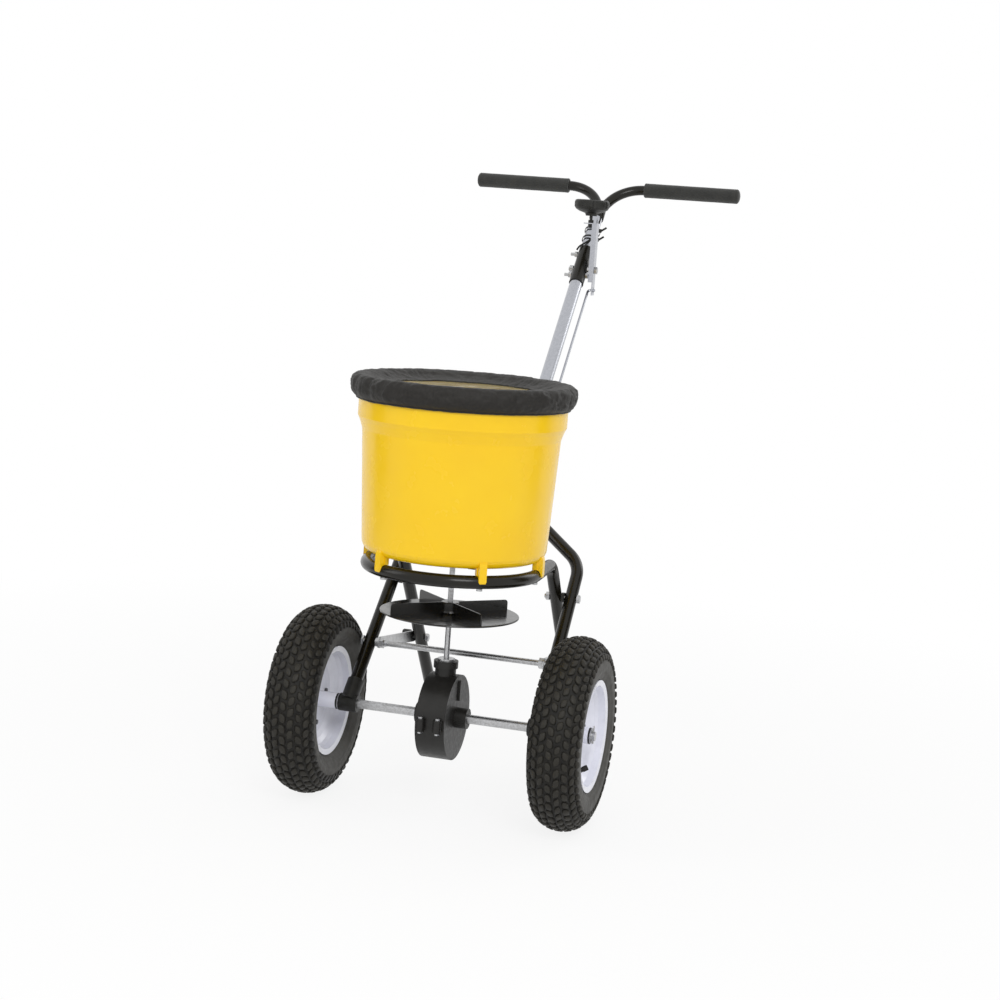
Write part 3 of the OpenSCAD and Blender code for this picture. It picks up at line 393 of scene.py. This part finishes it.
def ring_faces(rings, count, first=0, closed_rings=False):
    """Quads between rings of points that each go once round."""
    faces = []
    for i in range(rings if closed_rings else rings - 1):
        a, b = first + i * count, first + (i + 1) % rings * count
        for k in range(count):
            n = (k + 1) % count
            faces.append((a + k, a + n, b + n, b + k))
    return faces


def lathe(profile, count, place):
    """Points and faces of a closed profile of (radius, along) turned about an axis."""
    points = []
    for radius, along in profile:
        for k in range(count):
            turn = 2 * math.pi * k / count
            points.append(place @ Vector((radius * math.cos(turn), radius * math.sin(turn), along)))
    return points, ring_faces(len(profile), count, closed_rings=True)


def tube_along(path, radius, sides):
    """Points and faces of a round tube along a path, with closed ends."""
    points, faces = [], []
    across = Vector((0, 0, 1)).cross(path[1] - path[0])
    for i, here in enumerate(path):
        way = (path[min(i + 1, len(path) - 1)] - path[max(i - 1, 0)]).normalized()
        across = (across - way * across.dot(way)).normalized()
        other = way.cross(across)
        for k in range(sides):
            turn = 2 * math.pi * k / sides
            points.append(here + radius * (across * math.cos(turn) + other * math.sin(turn)))
    faces = ring_faces(len(path), sides)
    faces.append(tuple(range(sides)))
    faces.append(tuple(reversed(range(len(points) - sides, len(points)))))
    return points, faces


def smooth_path(points, steps):
    """A Catmull-Rom curve through the points."""
    path = []
    for i in range(len(points) - 1):
        p = [points[max(0, min(len(points) - 1, i + k))] for k in (-1, 0, 1, 2)]
        for j in range(steps):
            t = j / steps
            path.append(0.5 * (
                2 * p[1] + (p[2] - p[0]) * t
                + (2 * p[0] - 5 * p[1] + 4 * p[2] - p[3]) * t ** 2
                + (3 * p[1] - p[0] - 3 * p[2] + p[3]) * t ** 3
            ))
    path.append(points[-1])
    return path


def along_x(centre, way=1):
    """A frame whose Z runs along X, towards +X or -X."""
    turn = Matrix(((0, 0, way), (0, 1, 0), (-way, 0, 0))).to_4x4()
    return Matrix.Translation(centre) @ turn


# ---------------------------------------------------------------- tyres

STUDS_ROUND = 52
STUD_ROWS = 9
STUD_SIDES = 12
STUD_H = 3.8 * MM
CARCASS_DROP = 3.9 * MM
STUD_JITTER = 0.006
CROWN_R = WHEEL_R - TYRE_HALF
RIM_OUT = 38 * MM
RIM_IN = 30 * MM
TYRE_ROUND = 180
TREAD_EDGE = math.radians(12)
STUDS_FROM = math.radians(17)
STUDS_TO = math.radians(163)
WALL_STEPS = 9
WALL_RIDGES = (2, 6)
WALL_LAP = 1.0 * MM
BEAD_GAP = 1.8 * MM


def tyre_section(turn, drop):
    """The tyre's outline at a turn of 0 to pi across the tread: radius and place across."""
    half = TYRE_HALF - 0.4 * drop
    height = TYRE_HALF - drop
    return (CROWN_R + height * abs(math.sin(turn)) ** 0.85, half * math.cos(turn))


def even_turns(count, start, end):
    """Turns that are evenly far apart along the tyre's outline."""
    fine = [start + (end - start) * i / 400 for i in range(401)]
    places = [Vector(tyre_section(t, CARCASS_DROP)) for t in fine]
    run = [0.0]
    for a, b in zip(places, places[1:]):
        run.append(run[-1] + (b - a).length)
    return [float(np.interp(run[-1] * i / (count - 1), run, fine)) for i in range(count)]


def carcass(rim_out, rim_in):
    """The closed section of the tyre without its studs, and each point's shade value: painted shade (0)
    on the crown between the studs, the paler sidewall (1).
    """
    turns = even_turns(41, 0.0, math.pi)
    crown = [tyre_section(t, CARCASS_DROP) for t in turns]
    wall = []
    for i in range(WALL_STEPS):
        t = i / WALL_STEPS
        radius = RIM_R + BEAD_GAP + (CROWN_R - RIM_R - BEAD_GAP) * t
        bulge = (TYRE_HALF - 0.4 * CARCASS_DROP - rim_out + WALL_LAP) * math.sin(t * math.pi / 2)
        ridge = 0.7 * MM if i in WALL_RIDGES else 0.0
        wall.append((radius, rim_out - WALL_LAP + bulge + ridge))
    other = []
    for r, x in reversed(wall):
        out = (x - rim_out + WALL_LAP) * (TYRE_HALF - rim_in) / (TYRE_HALF - rim_out)
        other.append((r, -(rim_in - WALL_LAP) - out))
    bead = RIM_R - 2.0 * MM
    profile = [(bead, rim_out - 5 * MM)] + wall + crown + other + [(bead, -rim_in + 5 * MM)]
    # Painted shade: the crown between the studs takes the dark groove colour; the walls take the paler
    # sidewall value.
    crown_groove_shade = [0.0 if TREAD_EDGE < t < math.pi - TREAD_EDGE else 1.0 for t in turns]
    painted_groove_shade = [1.0] * (len(wall) + 1) + crown_groove_shade + [1.0] * (len(other) + 1)
    return profile, painted_groove_shade


def stud(turn, row, place, angle, size_share):
    """One moulded stud: a rounded block with a soft edge, square to the tyre's skin."""
    radius, across = tyre_section(turn, CARCASS_DROP)
    nearby = Vector(tyre_section(turn + 0.01, CARCASS_DROP)) - Vector((radius, across))
    nearby.normalize()
    outward = Vector((math.cos(angle), math.sin(angle), 0))
    around = Vector((-math.sin(angle), math.cos(angle), 0))
    over = outward * nearby.x + Vector((0, 0, 1)) * nearby.y
    up = over.cross(around) * -1
    if up.dot(outward) < 0 and abs(nearby.y) > 0.3:
        up = -up
    base = outward * radius + Vector((0, 0, 1)) * across
    share = radius / WHEEL_R
    half_over, half_around = 5.5 * MM * size_share, 7.6 * MM * share * size_share
    lean = 0.42 if row % 2 else -0.42
    fade = 0.55 + 0.45 * math.sin(turn) ** 0.5
    # Each level's height over the skin, and how wide the stud is there
    levels = (
        (-1.6 * MM, 1.1),
        (0.35 * STUD_H * fade, 1.0),
        (0.78 * STUD_H * fade, 0.9),
        (STUD_H * fade, 0.7),
    )
    points = []
    for height, spread in levels:
        for k in range(STUD_SIDES):
            t = 2 * math.pi * k / STUD_SIDES
            c, s = math.cos(t), math.sin(t)
            a = math.copysign(abs(c) ** 0.72, c) * half_over * spread
            b = math.copysign(abs(s) ** 0.72, s) * half_around * spread
            points.append(place @ (base + over * a + around * (b + lean * a) + up * height))
    faces = ring_faces(len(levels), STUD_SIDES)
    faces.append(tuple(reversed(range(STUD_SIDES))))
    faces.append(tuple(range((len(levels) - 1) * STUD_SIDES, len(levels) * STUD_SIDES)))
    return points, faces


def make_tyre(name, side, body):
    draw = random.Random(11 + side)
    place = along_x(middle(name.replace("_tread", "")), side)
    profile, painted_groove_shade = carcass(RIM_OUT, RIM_IN)
    points, faces = lathe(profile, TYRE_ROUND, place)
    shade = [w for w in painted_groove_shade for _ in range(TYRE_ROUND)]
    for row, turn in enumerate(even_turns(STUD_ROWS, STUDS_FROM, STUDS_TO)):
        for k in range(STUDS_ROUND):
            angle = 2 * math.pi * (k + 0.5 * (row % 2)) / STUDS_ROUND
            angle += draw.uniform(-STUD_JITTER, STUD_JITTER)
            put_in(points, faces, stud(turn, row, place, angle, draw.uniform(0.9, 1.04)))
            # Each stud darkens from its top down to its foot: painted shade towards the groove.
            shade += [0.0] * STUD_SIDES + [0.25] * STUD_SIDES + [0.5] * (2 * STUD_SIDES)
    piece = new_piece(name, points, faces, "tyre_rubber", body)
    piece.data.attributes.new("painted_groove_shade", "FLOAT", "POINT").data.foreach_set("value", shade)
    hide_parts(name.replace("_tread", ""))


# ---------------------------------------------------------------- rain cover

COVER_ROUND = 540
FABRIC = 0.8 * MM
NOTCH_TURN = math.radians(-130)
NOTCH_WIDTH = math.radians(3.2)
HEM_LOWEST = -34.5 * MM
ROLL_R = 1.5 * MM
PANE_REACH = WINDOW_R + 3 * MM
PANE_HALF_T = 0.35 * MM
PANE_DROP = 10.2 * MM
# The fabric's section from the window's edge to the hem: radius, height over the hopper's rim,
# and how far the gathers lift it
COVER_SECTION = [
    (WINDOW_R - 3 * MM, -9.5 * MM, 0.5), (WINDOW_R + 10 * MM, -7.6 * MM, 0.7),
    (WINDOW_R + 26 * MM, -3.2 * MM, 0.8), (HOPPER_R - 13 * MM, 2.6 * MM, 0.8),
    (HOPPER_R - 2 * MM, 5.4 * MM, 0.6), (HOPPER_R + 6 * MM, 4.0 * MM, 0.8),
    (HOPPER_R + 11.6 * MM, -2.5 * MM, 1.0), (HOPPER_R + 13.4 * MM, -12 * MM, 1.0),
    (HOPPER_R + 12.4 * MM, -21 * MM, 1.1), (HOPPER_R + 9.0 * MM, -28 * MM, 1.1),
    (HOPPER_R + 5.0 * MM, -31.5 * MM, 0.8), (HOPPER_R + 3.4 * MM, -33.5 * MM, 0.5),
]


def crumple(spot):
    """Creases that run every way over the cloth: ridged noise at three sizes, highest on the creases."""
    height = 0.0
    for scale, share in ((30, 0.6), (62, 0.45), (125, 0.25)):
        height += share * (1 - 3.1 * abs(noise.noise(spot * scale)))
    return height


def gather(turn):
    """How far the gathered cloth stands out at a turn: uneven folds with narrow, deeper valleys."""
    around = Vector((math.cos(turn), math.sin(turn), 0))
    drift = 3.2 * noise.noise(around * 2.3 + Vector((4.1, 0, 0)))
    wide = abs(math.sin(16 * turn + drift)) ** 0.55
    narrow = abs(math.sin(37 * turn + 2.1 * drift + 0.8)) ** 0.7
    loose = noise.noise(around * 5.5)
    return 0.9 * (wide - 0.72) + 0.55 * (narrow - 0.7) + 0.5 * loose


def notch(turn):
    """The pinch where the elastic's ends are knotted: 1 at its middle and 0 away from it."""
    away = math.atan2(math.sin(turn - NOTCH_TURN), math.cos(turn - NOTCH_TURN))
    return math.exp(-(away / NOTCH_WIDTH) ** 2)


def cover_place(radius, rise, lift, turn):
    on_top = radius < HOPPER_R - 3 * MM
    way = Vector((math.cos(turn), math.sin(turn), 0))
    creases = crumple(way * radius + Vector((0, 0, 1.6 * rise)))
    wave = lift * (0.45 * gather(turn) + 0.75 * creases)
    pinch = notch(turn)
    if on_top:
        inner = max(0.0, 1 - (radius - WINDOW_R) / (30 * MM))
        out = radius + 9 * MM * min(1.0, inner) * noise.noise(way * 2.6 + Vector((0, 0, 2.2)))
        up = rise + 2.1 * MM * wave
    else:
        nearest = HOPPER_R + 1.6 * MM * (rise < 2 * MM)
        out = max(radius + 2.6 * MM * wave - 4.5 * MM * pinch, nearest)
        up = rise + 1.3 * MM * wave - 2.0 * MM * pinch
    if radius > WINDOW_R + 40 * MM and rise > 0:
        up = max(up, 1.2 * MM)
    return Vector((HOPPER.x, HOPPER.y, HOPPER_TOP + max(up, HEM_LOWEST))) + way * out


def make_cover_sheet():
    section = smooth_path([Vector(row) for row in COVER_SECTION], 4)
    points = []
    for radius, rise, lift in section:
        for k in range(COVER_ROUND):
            points.append(cover_place(radius, rise, lift, 2 * math.pi * k / COVER_ROUND))
    faces = ring_faces(len(section), COVER_ROUND)
    piece = new_piece("cover_sheet", points, faces, "cover_fabric", "cover")
    thick = piece.modifiers.new("thickness", "SOLIDIFY")
    thick.thickness = FABRIC
    thick.offset = 0
    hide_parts("rain_cover")
    return piece


def ring_roll(name, row, sides=10):
    """A closed roll of cloth all the way round the cover, which follows its gathers."""
    points = []
    for k in range(COVER_ROUND):
        turn = 2 * math.pi * k / COVER_ROUND
        here = cover_place(row[0], row[1], row[2], turn)
        outward = Vector((math.cos(turn), math.sin(turn), 0))
        for j in range(sides):
            t = 2 * math.pi * j / sides
            points.append(here + ROLL_R * (outward * math.cos(t) + Vector((0, 0, math.sin(t)))))
    faces = ring_faces(COVER_ROUND, sides, closed_rings=True)
    return new_piece(name, points, faces, "cover_fabric", "cover")


def make_cover_pane():
    """The clear window: one thin sheet that sags a little between its sewn edge."""
    rings, count = 26, 120
    points = []
    for level in (PANE_HALF_T, -PANE_HALF_T):
        for i in range(1, rings + 1):
            radius = PANE_REACH * i / rings
            for k in range(count):
                turn = 2 * math.pi * k / count
                spot = Vector((radius * math.cos(turn), radius * math.sin(turn), 0))
                wave = 0.55 * MM * noise.noise(spot * 26) * (1 - (i / rings) ** 4)
                height = HOPPER_TOP - PANE_DROP + level + wave
                points.append(Vector((HOPPER.x, HOPPER.y, height)) + spot)
    faces = []
    half = rings * count
    for first in (0, half):
        faces += ring_faces(rings, count, first)
        faces.append(tuple(first + k for k in range(count)))
    edge = half - count
    for k in range(count):
        n = (k + 1) % count
        faces.append((edge + k, edge + n, half + edge + n, half + edge + k))
    piece = new_piece("cover_pane", points, faces, "cover_vinyl", "cover")
    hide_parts("cover_window")
    return piece


def make_cover():
    cloth = make_cover_sheet()
    piping = ring_roll("cover_piping", COVER_SECTION[0])
    hem = ring_roll("cover_hem", COVER_SECTION[-1])
    pane = make_cover_pane()


# ---------------------------------------------------------------- handle pieces

BAR_R = 10 * MM
BAR_HEADING = math.radians(29)
BAR_BEND_R = 76 * MM
FOAM_GAP = 0.2 * MM
MOUTH_R = 2.4 * MM
DOME_L = 7 * MM
GRIP_REACH = size("handlebar").x / 2


def handlebar_path(side):
    """One bar's centre line: out of the collar in a V, round its bend and along the grip."""
    bend_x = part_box("right_grip")[0].x
    v_s = GRIP_S - BAR_BEND_R * (1 - math.sin(BAR_HEADING))
    v_x = bend_x - BAR_BEND_R * math.cos(BAR_HEADING)
    root_s = v_s - v_x / math.tan(BAR_HEADING)
    route = [(0.0, root_s), (v_x * 0.5, (root_s + v_s) / 2)]
    steps = 22
    for i in range(steps + 1):
        turn = BAR_HEADING + (math.pi / 2 - BAR_HEADING) * i / steps
        route.append((
            bend_x - BAR_BEND_R * math.cos(turn),
            GRIP_S - BAR_BEND_R * (1 - math.sin(turn)),
        ))
    route.append((GRIP_REACH - 1 * MM, GRIP_S))
    return [on_handle(side * x, s, GRIP_N) for x, s in route], root_s


def make_handlebar():
    points, faces = [], []
    for side in (-1, 1):
        path, root_s = handlebar_path(side)
        put_in(points, faces, tube_along(path, BAR_R, 32))
    inner, outer = HANDLE_D / 2 + 0.1 * MM, HANDLE_D / 2 + 2 * MM
    low, high = root_s - 34 * MM, root_s + 6 * MM
    ring = [(inner, low), (outer - 0.5 * MM, low), (outer, low + 0.5 * MM), (outer, high - 0.8 * MM),
            (outer - 0.8 * MM, high), (inner, high)]
    turn = Matrix((Vector((1, 0, 0)), -HANDLE_UNDER, HANDLE_UP)).transposed().to_4x4()
    put_in(points, faces, lathe(ring, 64, Matrix.Translation(HANDLE_FOOT) @ turn))
    piece = new_piece("handlebar_bars", points, faces, "black_tube", "frame")
    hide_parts("handlebar")


def make_grip(name, side):
    """A foam sleeve with a soft mouth and a domed outer end."""
    low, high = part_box(name.replace("_foam", ""))
    r = (high.z - low.z) / 2
    long = high.x - low.x
    bore = BAR_R + FOAM_GAP
    profile = [(bore, 0), (r - MOUTH_R, 0)]
    for t in (0.4, 0.8, 1.2, math.pi / 2):
        profile.append((r - MOUTH_R + MOUTH_R * math.sin(t), MOUTH_R - MOUTH_R * math.cos(t)))
    for i in range(1, 24):
        dent = 0.25 * MM * (1 + noise.noise(Vector((i * 0.7, side * 3.1, 0))))
        profile.append((r - dent, long * i / 24))
    for t in (0.1, 0.5, 0.85, 1.15, 1.4):
        profile.append((r * math.cos(t), long - DOME_L + DOME_L * math.sin(t)))
    profile += [(1.2 * MM, long), (1.2 * MM, long - 3 * MM), (bore, long - 3 * MM)]
    start = Vector((low.x if side > 0 else high.x, (low.y + high.y) / 2, (low.z + high.z) / 2))
    points, faces = lathe(profile, 72, along_x(start, side))
    piece = new_piece(name, points, faces, "grip_foam", "frame")
    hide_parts(name.replace("_foam", ""))


# The tether's route from part.scad, in the handle's plane: x, s and n in millimetres
CORD_ROUTE = [
    (-17, 832, -9), (-12, 838, -14), (-4, 846, -15), (3, 854, -15), (7, 862, -13),
    (8.5, 870, -12), (9, 880, -11.6), (9.5, 890, -11.2), (11, 900, -11.5), (13, 910, -13),
    (14, 920, -16), (13, 930, -19),
]


def make_tether():
    path = smooth_path([on_handle(x * MM, s * MM, n * MM) for x, s, n in CORD_ROUTE], 6)
    points, faces = tube_along(path, 1.75 * MM, 20)
    piece = new_piece("tether_line", points, faces, "black_rubber", "frame")
    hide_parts("tether_cord")


# ---------------------------------------------------------------- spinner

FIN_H = 20 * MM
FIN_T = 2.6 * MM
FIN_TURN = 45
FIN_CORNER = 5 * MM
DISC_T = 3 * MM
HUB_R = 16 * MM
DISC_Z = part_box("impeller")[0].z + DISC_T / 2


def disc_shape():
    """The disc with a rolled edge, and a hub with a soft shoulder, as one turned form."""
    r = size("impeller").x / 2
    bore = 4.8 * MM
    low = -DISC_T / 2
    profile = [
        (bore, low), (r - 1.5 * MM, low), (r - 0.4 * MM, low + 0.5 * MM), (r, 0),
        (r - 0.4 * MM, -low - 0.5 * MM), (r - 1.5 * MM, -low), (HUB_R + 4 * MM, -low),
        (HUB_R + 1 * MM, -low + 1 * MM), (HUB_R, -low + 4 * MM),
        (HUB_R - 0.3 * MM, FIN_H - 1.2 * MM), (HUB_R - 1.4 * MM, FIN_H), (bore, FIN_H),
    ]
    return lathe(profile, 144, Matrix.Translation((HOPPER.x, HOPPER.y, DISC_Z)))


def fin_shape(turn):
    """A tapered upright fin: rounded at its outer top corner and thinner at the top."""
    outer = size("impeller").x / 2 - 7 * MM
    outline = [(HUB_R - 2 * MM, 0), (outer, 0), (outer, FIN_H - FIN_CORNER)]
    for t in (0.4, 0.8, 1.2, math.pi / 2):
        reach = outer - FIN_CORNER + FIN_CORNER * math.cos(t)
        outline.append((reach, FIN_H - FIN_CORNER + FIN_CORNER * math.sin(t)))
    outline.append((HUB_R - 2 * MM, FIN_H))
    way = Vector((math.cos(turn), math.sin(turn), 0))
    across = Vector((-math.sin(turn), math.cos(turn), 0))
    points = []
    for side in (-1, 1):
        for reach, rise in outline:
            half = FIN_T / 2 * (1 - 0.25 * rise / FIN_H)
            foot = Vector((HOPPER.x, HOPPER.y, DISC_Z + rise))
            points.append(foot + way * reach + across * side * half)
    n = len(outline)
    faces = [tuple(reversed(range(n))), tuple(range(n, 2 * n))]
    faces += [(i, (i + 1) % n, n + (i + 1) % n, n + i) for i in range(n)]
    return points, faces


def make_spinner():
    points, faces = disc_shape()
    for i in range(4):
        put_in(points, faces, fin_shape(math.radians(FIN_TURN + 90 * i)))
    disc = new_piece("throwing_disc", points, faces, "black_plastic", "spinner", smooth=False)
    disc.data.materials[0] = gloss_plastic()
    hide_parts("impeller")
    spot = Vector((HOPPER.x, HOPPER.y, DISC_Z + FIN_H / 2))
    ring = [(0.3 * MM, -19 * MM), (1.5 * MM, -19 * MM), (1.95 * MM, -18.5 * MM),
            (1.95 * MM, 18.5 * MM), (1.5 * MM, 19 * MM), (0.3 * MM, 19 * MM)]
    points, faces = lathe(ring, 24, along_x(spot))
    pin = new_piece("disc_pin", points, faces, "zinc", "spinner")
    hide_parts("impeller_pin")


# ---------------------------------------------------------------- hopper feet

FOOT_TURNS = (0, 180, 235, 305)
FOOT_HALF = 6.5 * MM
HOOP_TUBE_R = 11 * MM
# A foot's outline in millimetres: distance from the hopper's axis, and height over the hoop's middle
FOOT_OUTLINE = [
    (156.4, -1), (156.2, 2), (155.6, 5), (152.6, 9.6), (148, 11.6), (146, 24),
    (150, 28), (155.2, 34.5), (157.6, 32), (158.8, 25), (159, 2), (158.4, -1),
]


def make_foot_laps():
    """The hopper's moulded feet lap over the hoop's outer face."""
    hoop_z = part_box("stand_hoop")[1].z - HOOP_TUBE_R
    n = len(FOOT_OUTLINE)
    points, faces = [], []
    for degrees in FOOT_TURNS:
        turn = math.radians(degrees)
        way = Vector((math.cos(turn), math.sin(turn), 0))
        across = Vector((-math.sin(turn), math.cos(turn), 0))
        first = len(points)
        for side in (-1, 1):
            for reach, rise in FOOT_OUTLINE:
                half = FOOT_HALF - max(0, 3 - (rise + 1)) * 0.5 * MM
                centre = Vector((HOPPER.x, HOPPER.y, hoop_z + rise * MM))
                points.append(centre + way * reach * MM + across * side * half)
        faces.append(tuple(first + i for i in reversed(range(n))))
        faces.append(tuple(first + n + i for i in range(n)))
        for i in range(n):
            after = (i + 1) % n
            faces.append((first + i, first + after, first + n + after, first + n + i))
    new_piece("hopper_feet", points, faces, "yellow_plastic", "frame", smooth=False)


# ---------------------------------------------------------------- stage and light

FLOOR_REACH = 30.0
FLOOR_NEAR = 0.6
FLOOR_FAR = 1.9
FLOOR_WHITE = 0.86
WORLD_LIGHT = 0.62
CARD_HALF = 0.5
CARD_TALL = 2.4
CARD_BLACK = (0.02, 0.02, 0.02, 1)
SEEN_BY = ("Is Camera Ray", "Is Glossy Ray", "Is Transmission Ray")


def make_floor():
    r = FLOOR_REACH
    points = [(-r, -r, 0), (r, -r, 0), (r, r, 0), (-r, r, 0)]
    mesh = bpy.data.meshes.new("floor")
    mesh.from_pydata(points, [], [(0, 1, 2, 3)])
    floor = bpy.data.objects.new("floor", mesh)
    floor.location.z = -0.2 * MM
    bpy.context.scene.collection.objects.link(floor)
    mesh.materials.append(floor_look())


def either_ray(tree):
    """1 for any of the kinds of ray that see the white background."""
    rays = tree.nodes.new("ShaderNodeLightPath")
    direct = rays.outputs[SEEN_BY[0]]
    for name in SEEN_BY[1:]:
        most = tree.nodes.new("ShaderNodeMath")
        most.operation = "MAXIMUM"
        tree.links.new(direct, most.inputs[0])
        tree.links.new(rays.outputs[name], most.inputs[1])
        direct = most.outputs[0]
    return direct


def mix_by(tree, factor, first, second, end):
    """Mixes two shaders by a factor into an output node's Surface."""
    mix = tree.nodes.new("ShaderNodeMixShader")
    tree.links.new(factor, mix.inputs["Fac"])
    tree.links.new(first, mix.inputs[1])
    tree.links.new(second, mix.inputs[2])
    tree.links.new(mix.outputs[0], tree.nodes[end].inputs["Surface"])


def floor_look():
    """A pale floor. What sees it directly sees it whitened, most of all away from the object."""
    material = bpy.data.materials.new("floor")
    material.use_nodes = True
    tree = material.node_tree
    shader = tree.nodes["Principled BSDF"]
    shader.inputs["Base Color"].default_value = (0.93, 0.93, 0.93, 1)
    shader.inputs["Roughness"].default_value = 0.9
    shader.inputs["Specular IOR Level"].default_value = 0.1
    white = tree.nodes.new("ShaderNodeEmission")
    place = tree.nodes.new("ShaderNodeTexCoord")
    away = tree.nodes.new("ShaderNodeVectorMath")
    away.operation = "LENGTH"
    tree.links.new(place.outputs["Object"], away.inputs[0])
    share = tree.nodes.new("ShaderNodeMapRange")
    share.inputs["From Min"].default_value = FLOOR_NEAR
    share.inputs["From Max"].default_value = FLOOR_FAR
    share.inputs["To Min"].default_value = FLOOR_WHITE
    share.inputs["To Max"].default_value = 1.0
    tree.links.new(away.outputs["Value"], share.inputs["Value"])
    seen = tree.nodes.new("ShaderNodeMath")
    seen.operation = "MULTIPLY"
    tree.links.new(share.outputs["Result"], seen.inputs[0])
    tree.links.new(either_ray(tree), seen.inputs[1])
    mix_by(tree, seen.outputs[0], shader.outputs[0], white.outputs[0], "Material Output")
    return material


def make_world():
    world = bpy.data.worlds.new("studio")
    world.use_nodes = True
    bpy.context.scene.world = world
    tree = world.node_tree
    light = tree.nodes["Background"]
    light.inputs["Color"].default_value = (1, 1, 1, 1)
    light.inputs["Strength"].default_value = WORLD_LIGHT
    seen = tree.nodes.new("ShaderNodeBackground")
    seen.inputs["Color"].default_value = (1, 1, 1, 1)
    seen.inputs["Strength"].default_value = 1.0
    mix_by(tree, either_ray(tree), light.outputs[0], seen.outputs[0], "World Output")


def make_lamp(name, place, aim, width, power):
    data = bpy.data.lights.new(name, "AREA")
    data.shape = "RECTANGLE"
    data.size, data.size_y = width
    data.energy = power
    lamp = bpy.data.objects.new(name, data)
    lamp.location = place
    lamp.rotation_mode = "QUATERNION"
    lamp.rotation_quaternion = (Vector(aim) - Vector(place)).to_track_quat("-Z", "Y")
    bpy.context.scene.collection.objects.link(lamp)


def make_card(name, place, turn):
    """A dark studio card that only reflections see, for the dark edges of plated and painted tubes."""
    w, h = CARD_HALF, CARD_TALL
    corners = [(-w, 0, 0), (w, 0, 0), (w, 0, h), (-w, 0, h)]
    mesh = bpy.data.meshes.new(name)
    mesh.from_pydata(corners, [], [(0, 1, 2, 3)])
    material = bpy.data.materials.new(name)
    material.use_nodes = True
    shader = material.node_tree.nodes["Principled BSDF"]
    shader.inputs["Base Color"].default_value = CARD_BLACK
    mesh.materials.append(material)
    card = bpy.data.objects.new(name, mesh)
    card.location = place
    card.rotation_euler.z = turn
    card.visible_camera = False
    card.visible_diffuse = False
    card.visible_shadow = False
    bpy.context.scene.collection.objects.link(card)


def make_stage():
    make_floor()
    make_card("left_card", (-2.2, -0.6, 0.05), math.radians(70))
    make_card("right_card", (2.4, 0.7, 0.05), math.radians(105))
    make_world()
    aim = (0, -0.25, 0.45)
    make_lamp("key", (1.6, -3.2, 2.6), aim, (1.6, 1.6), 48)
    make_lamp("fill", (-2.8, -1.6, 1.9), aim, (1.6, 2.0), 16)
    make_lamp("back", (1.8, 2.6, 2.2), aim, (1.6, 1.6), 14)
    bpy.context.scene.view_settings.view_transform = "Standard"


# ---------------------------------------------------------------- build

dress_cad_nodes()
make_tyre("left_tyre_tread", -1, "left_wheel")
make_tyre("right_tyre_tread", 1, "drive")
make_cover()
make_handlebar()
make_grip("left_grip_foam", -1)
make_grip("right_grip_foam", 1)
make_tether()
make_spinner()
make_foot_laps()
make_stage()
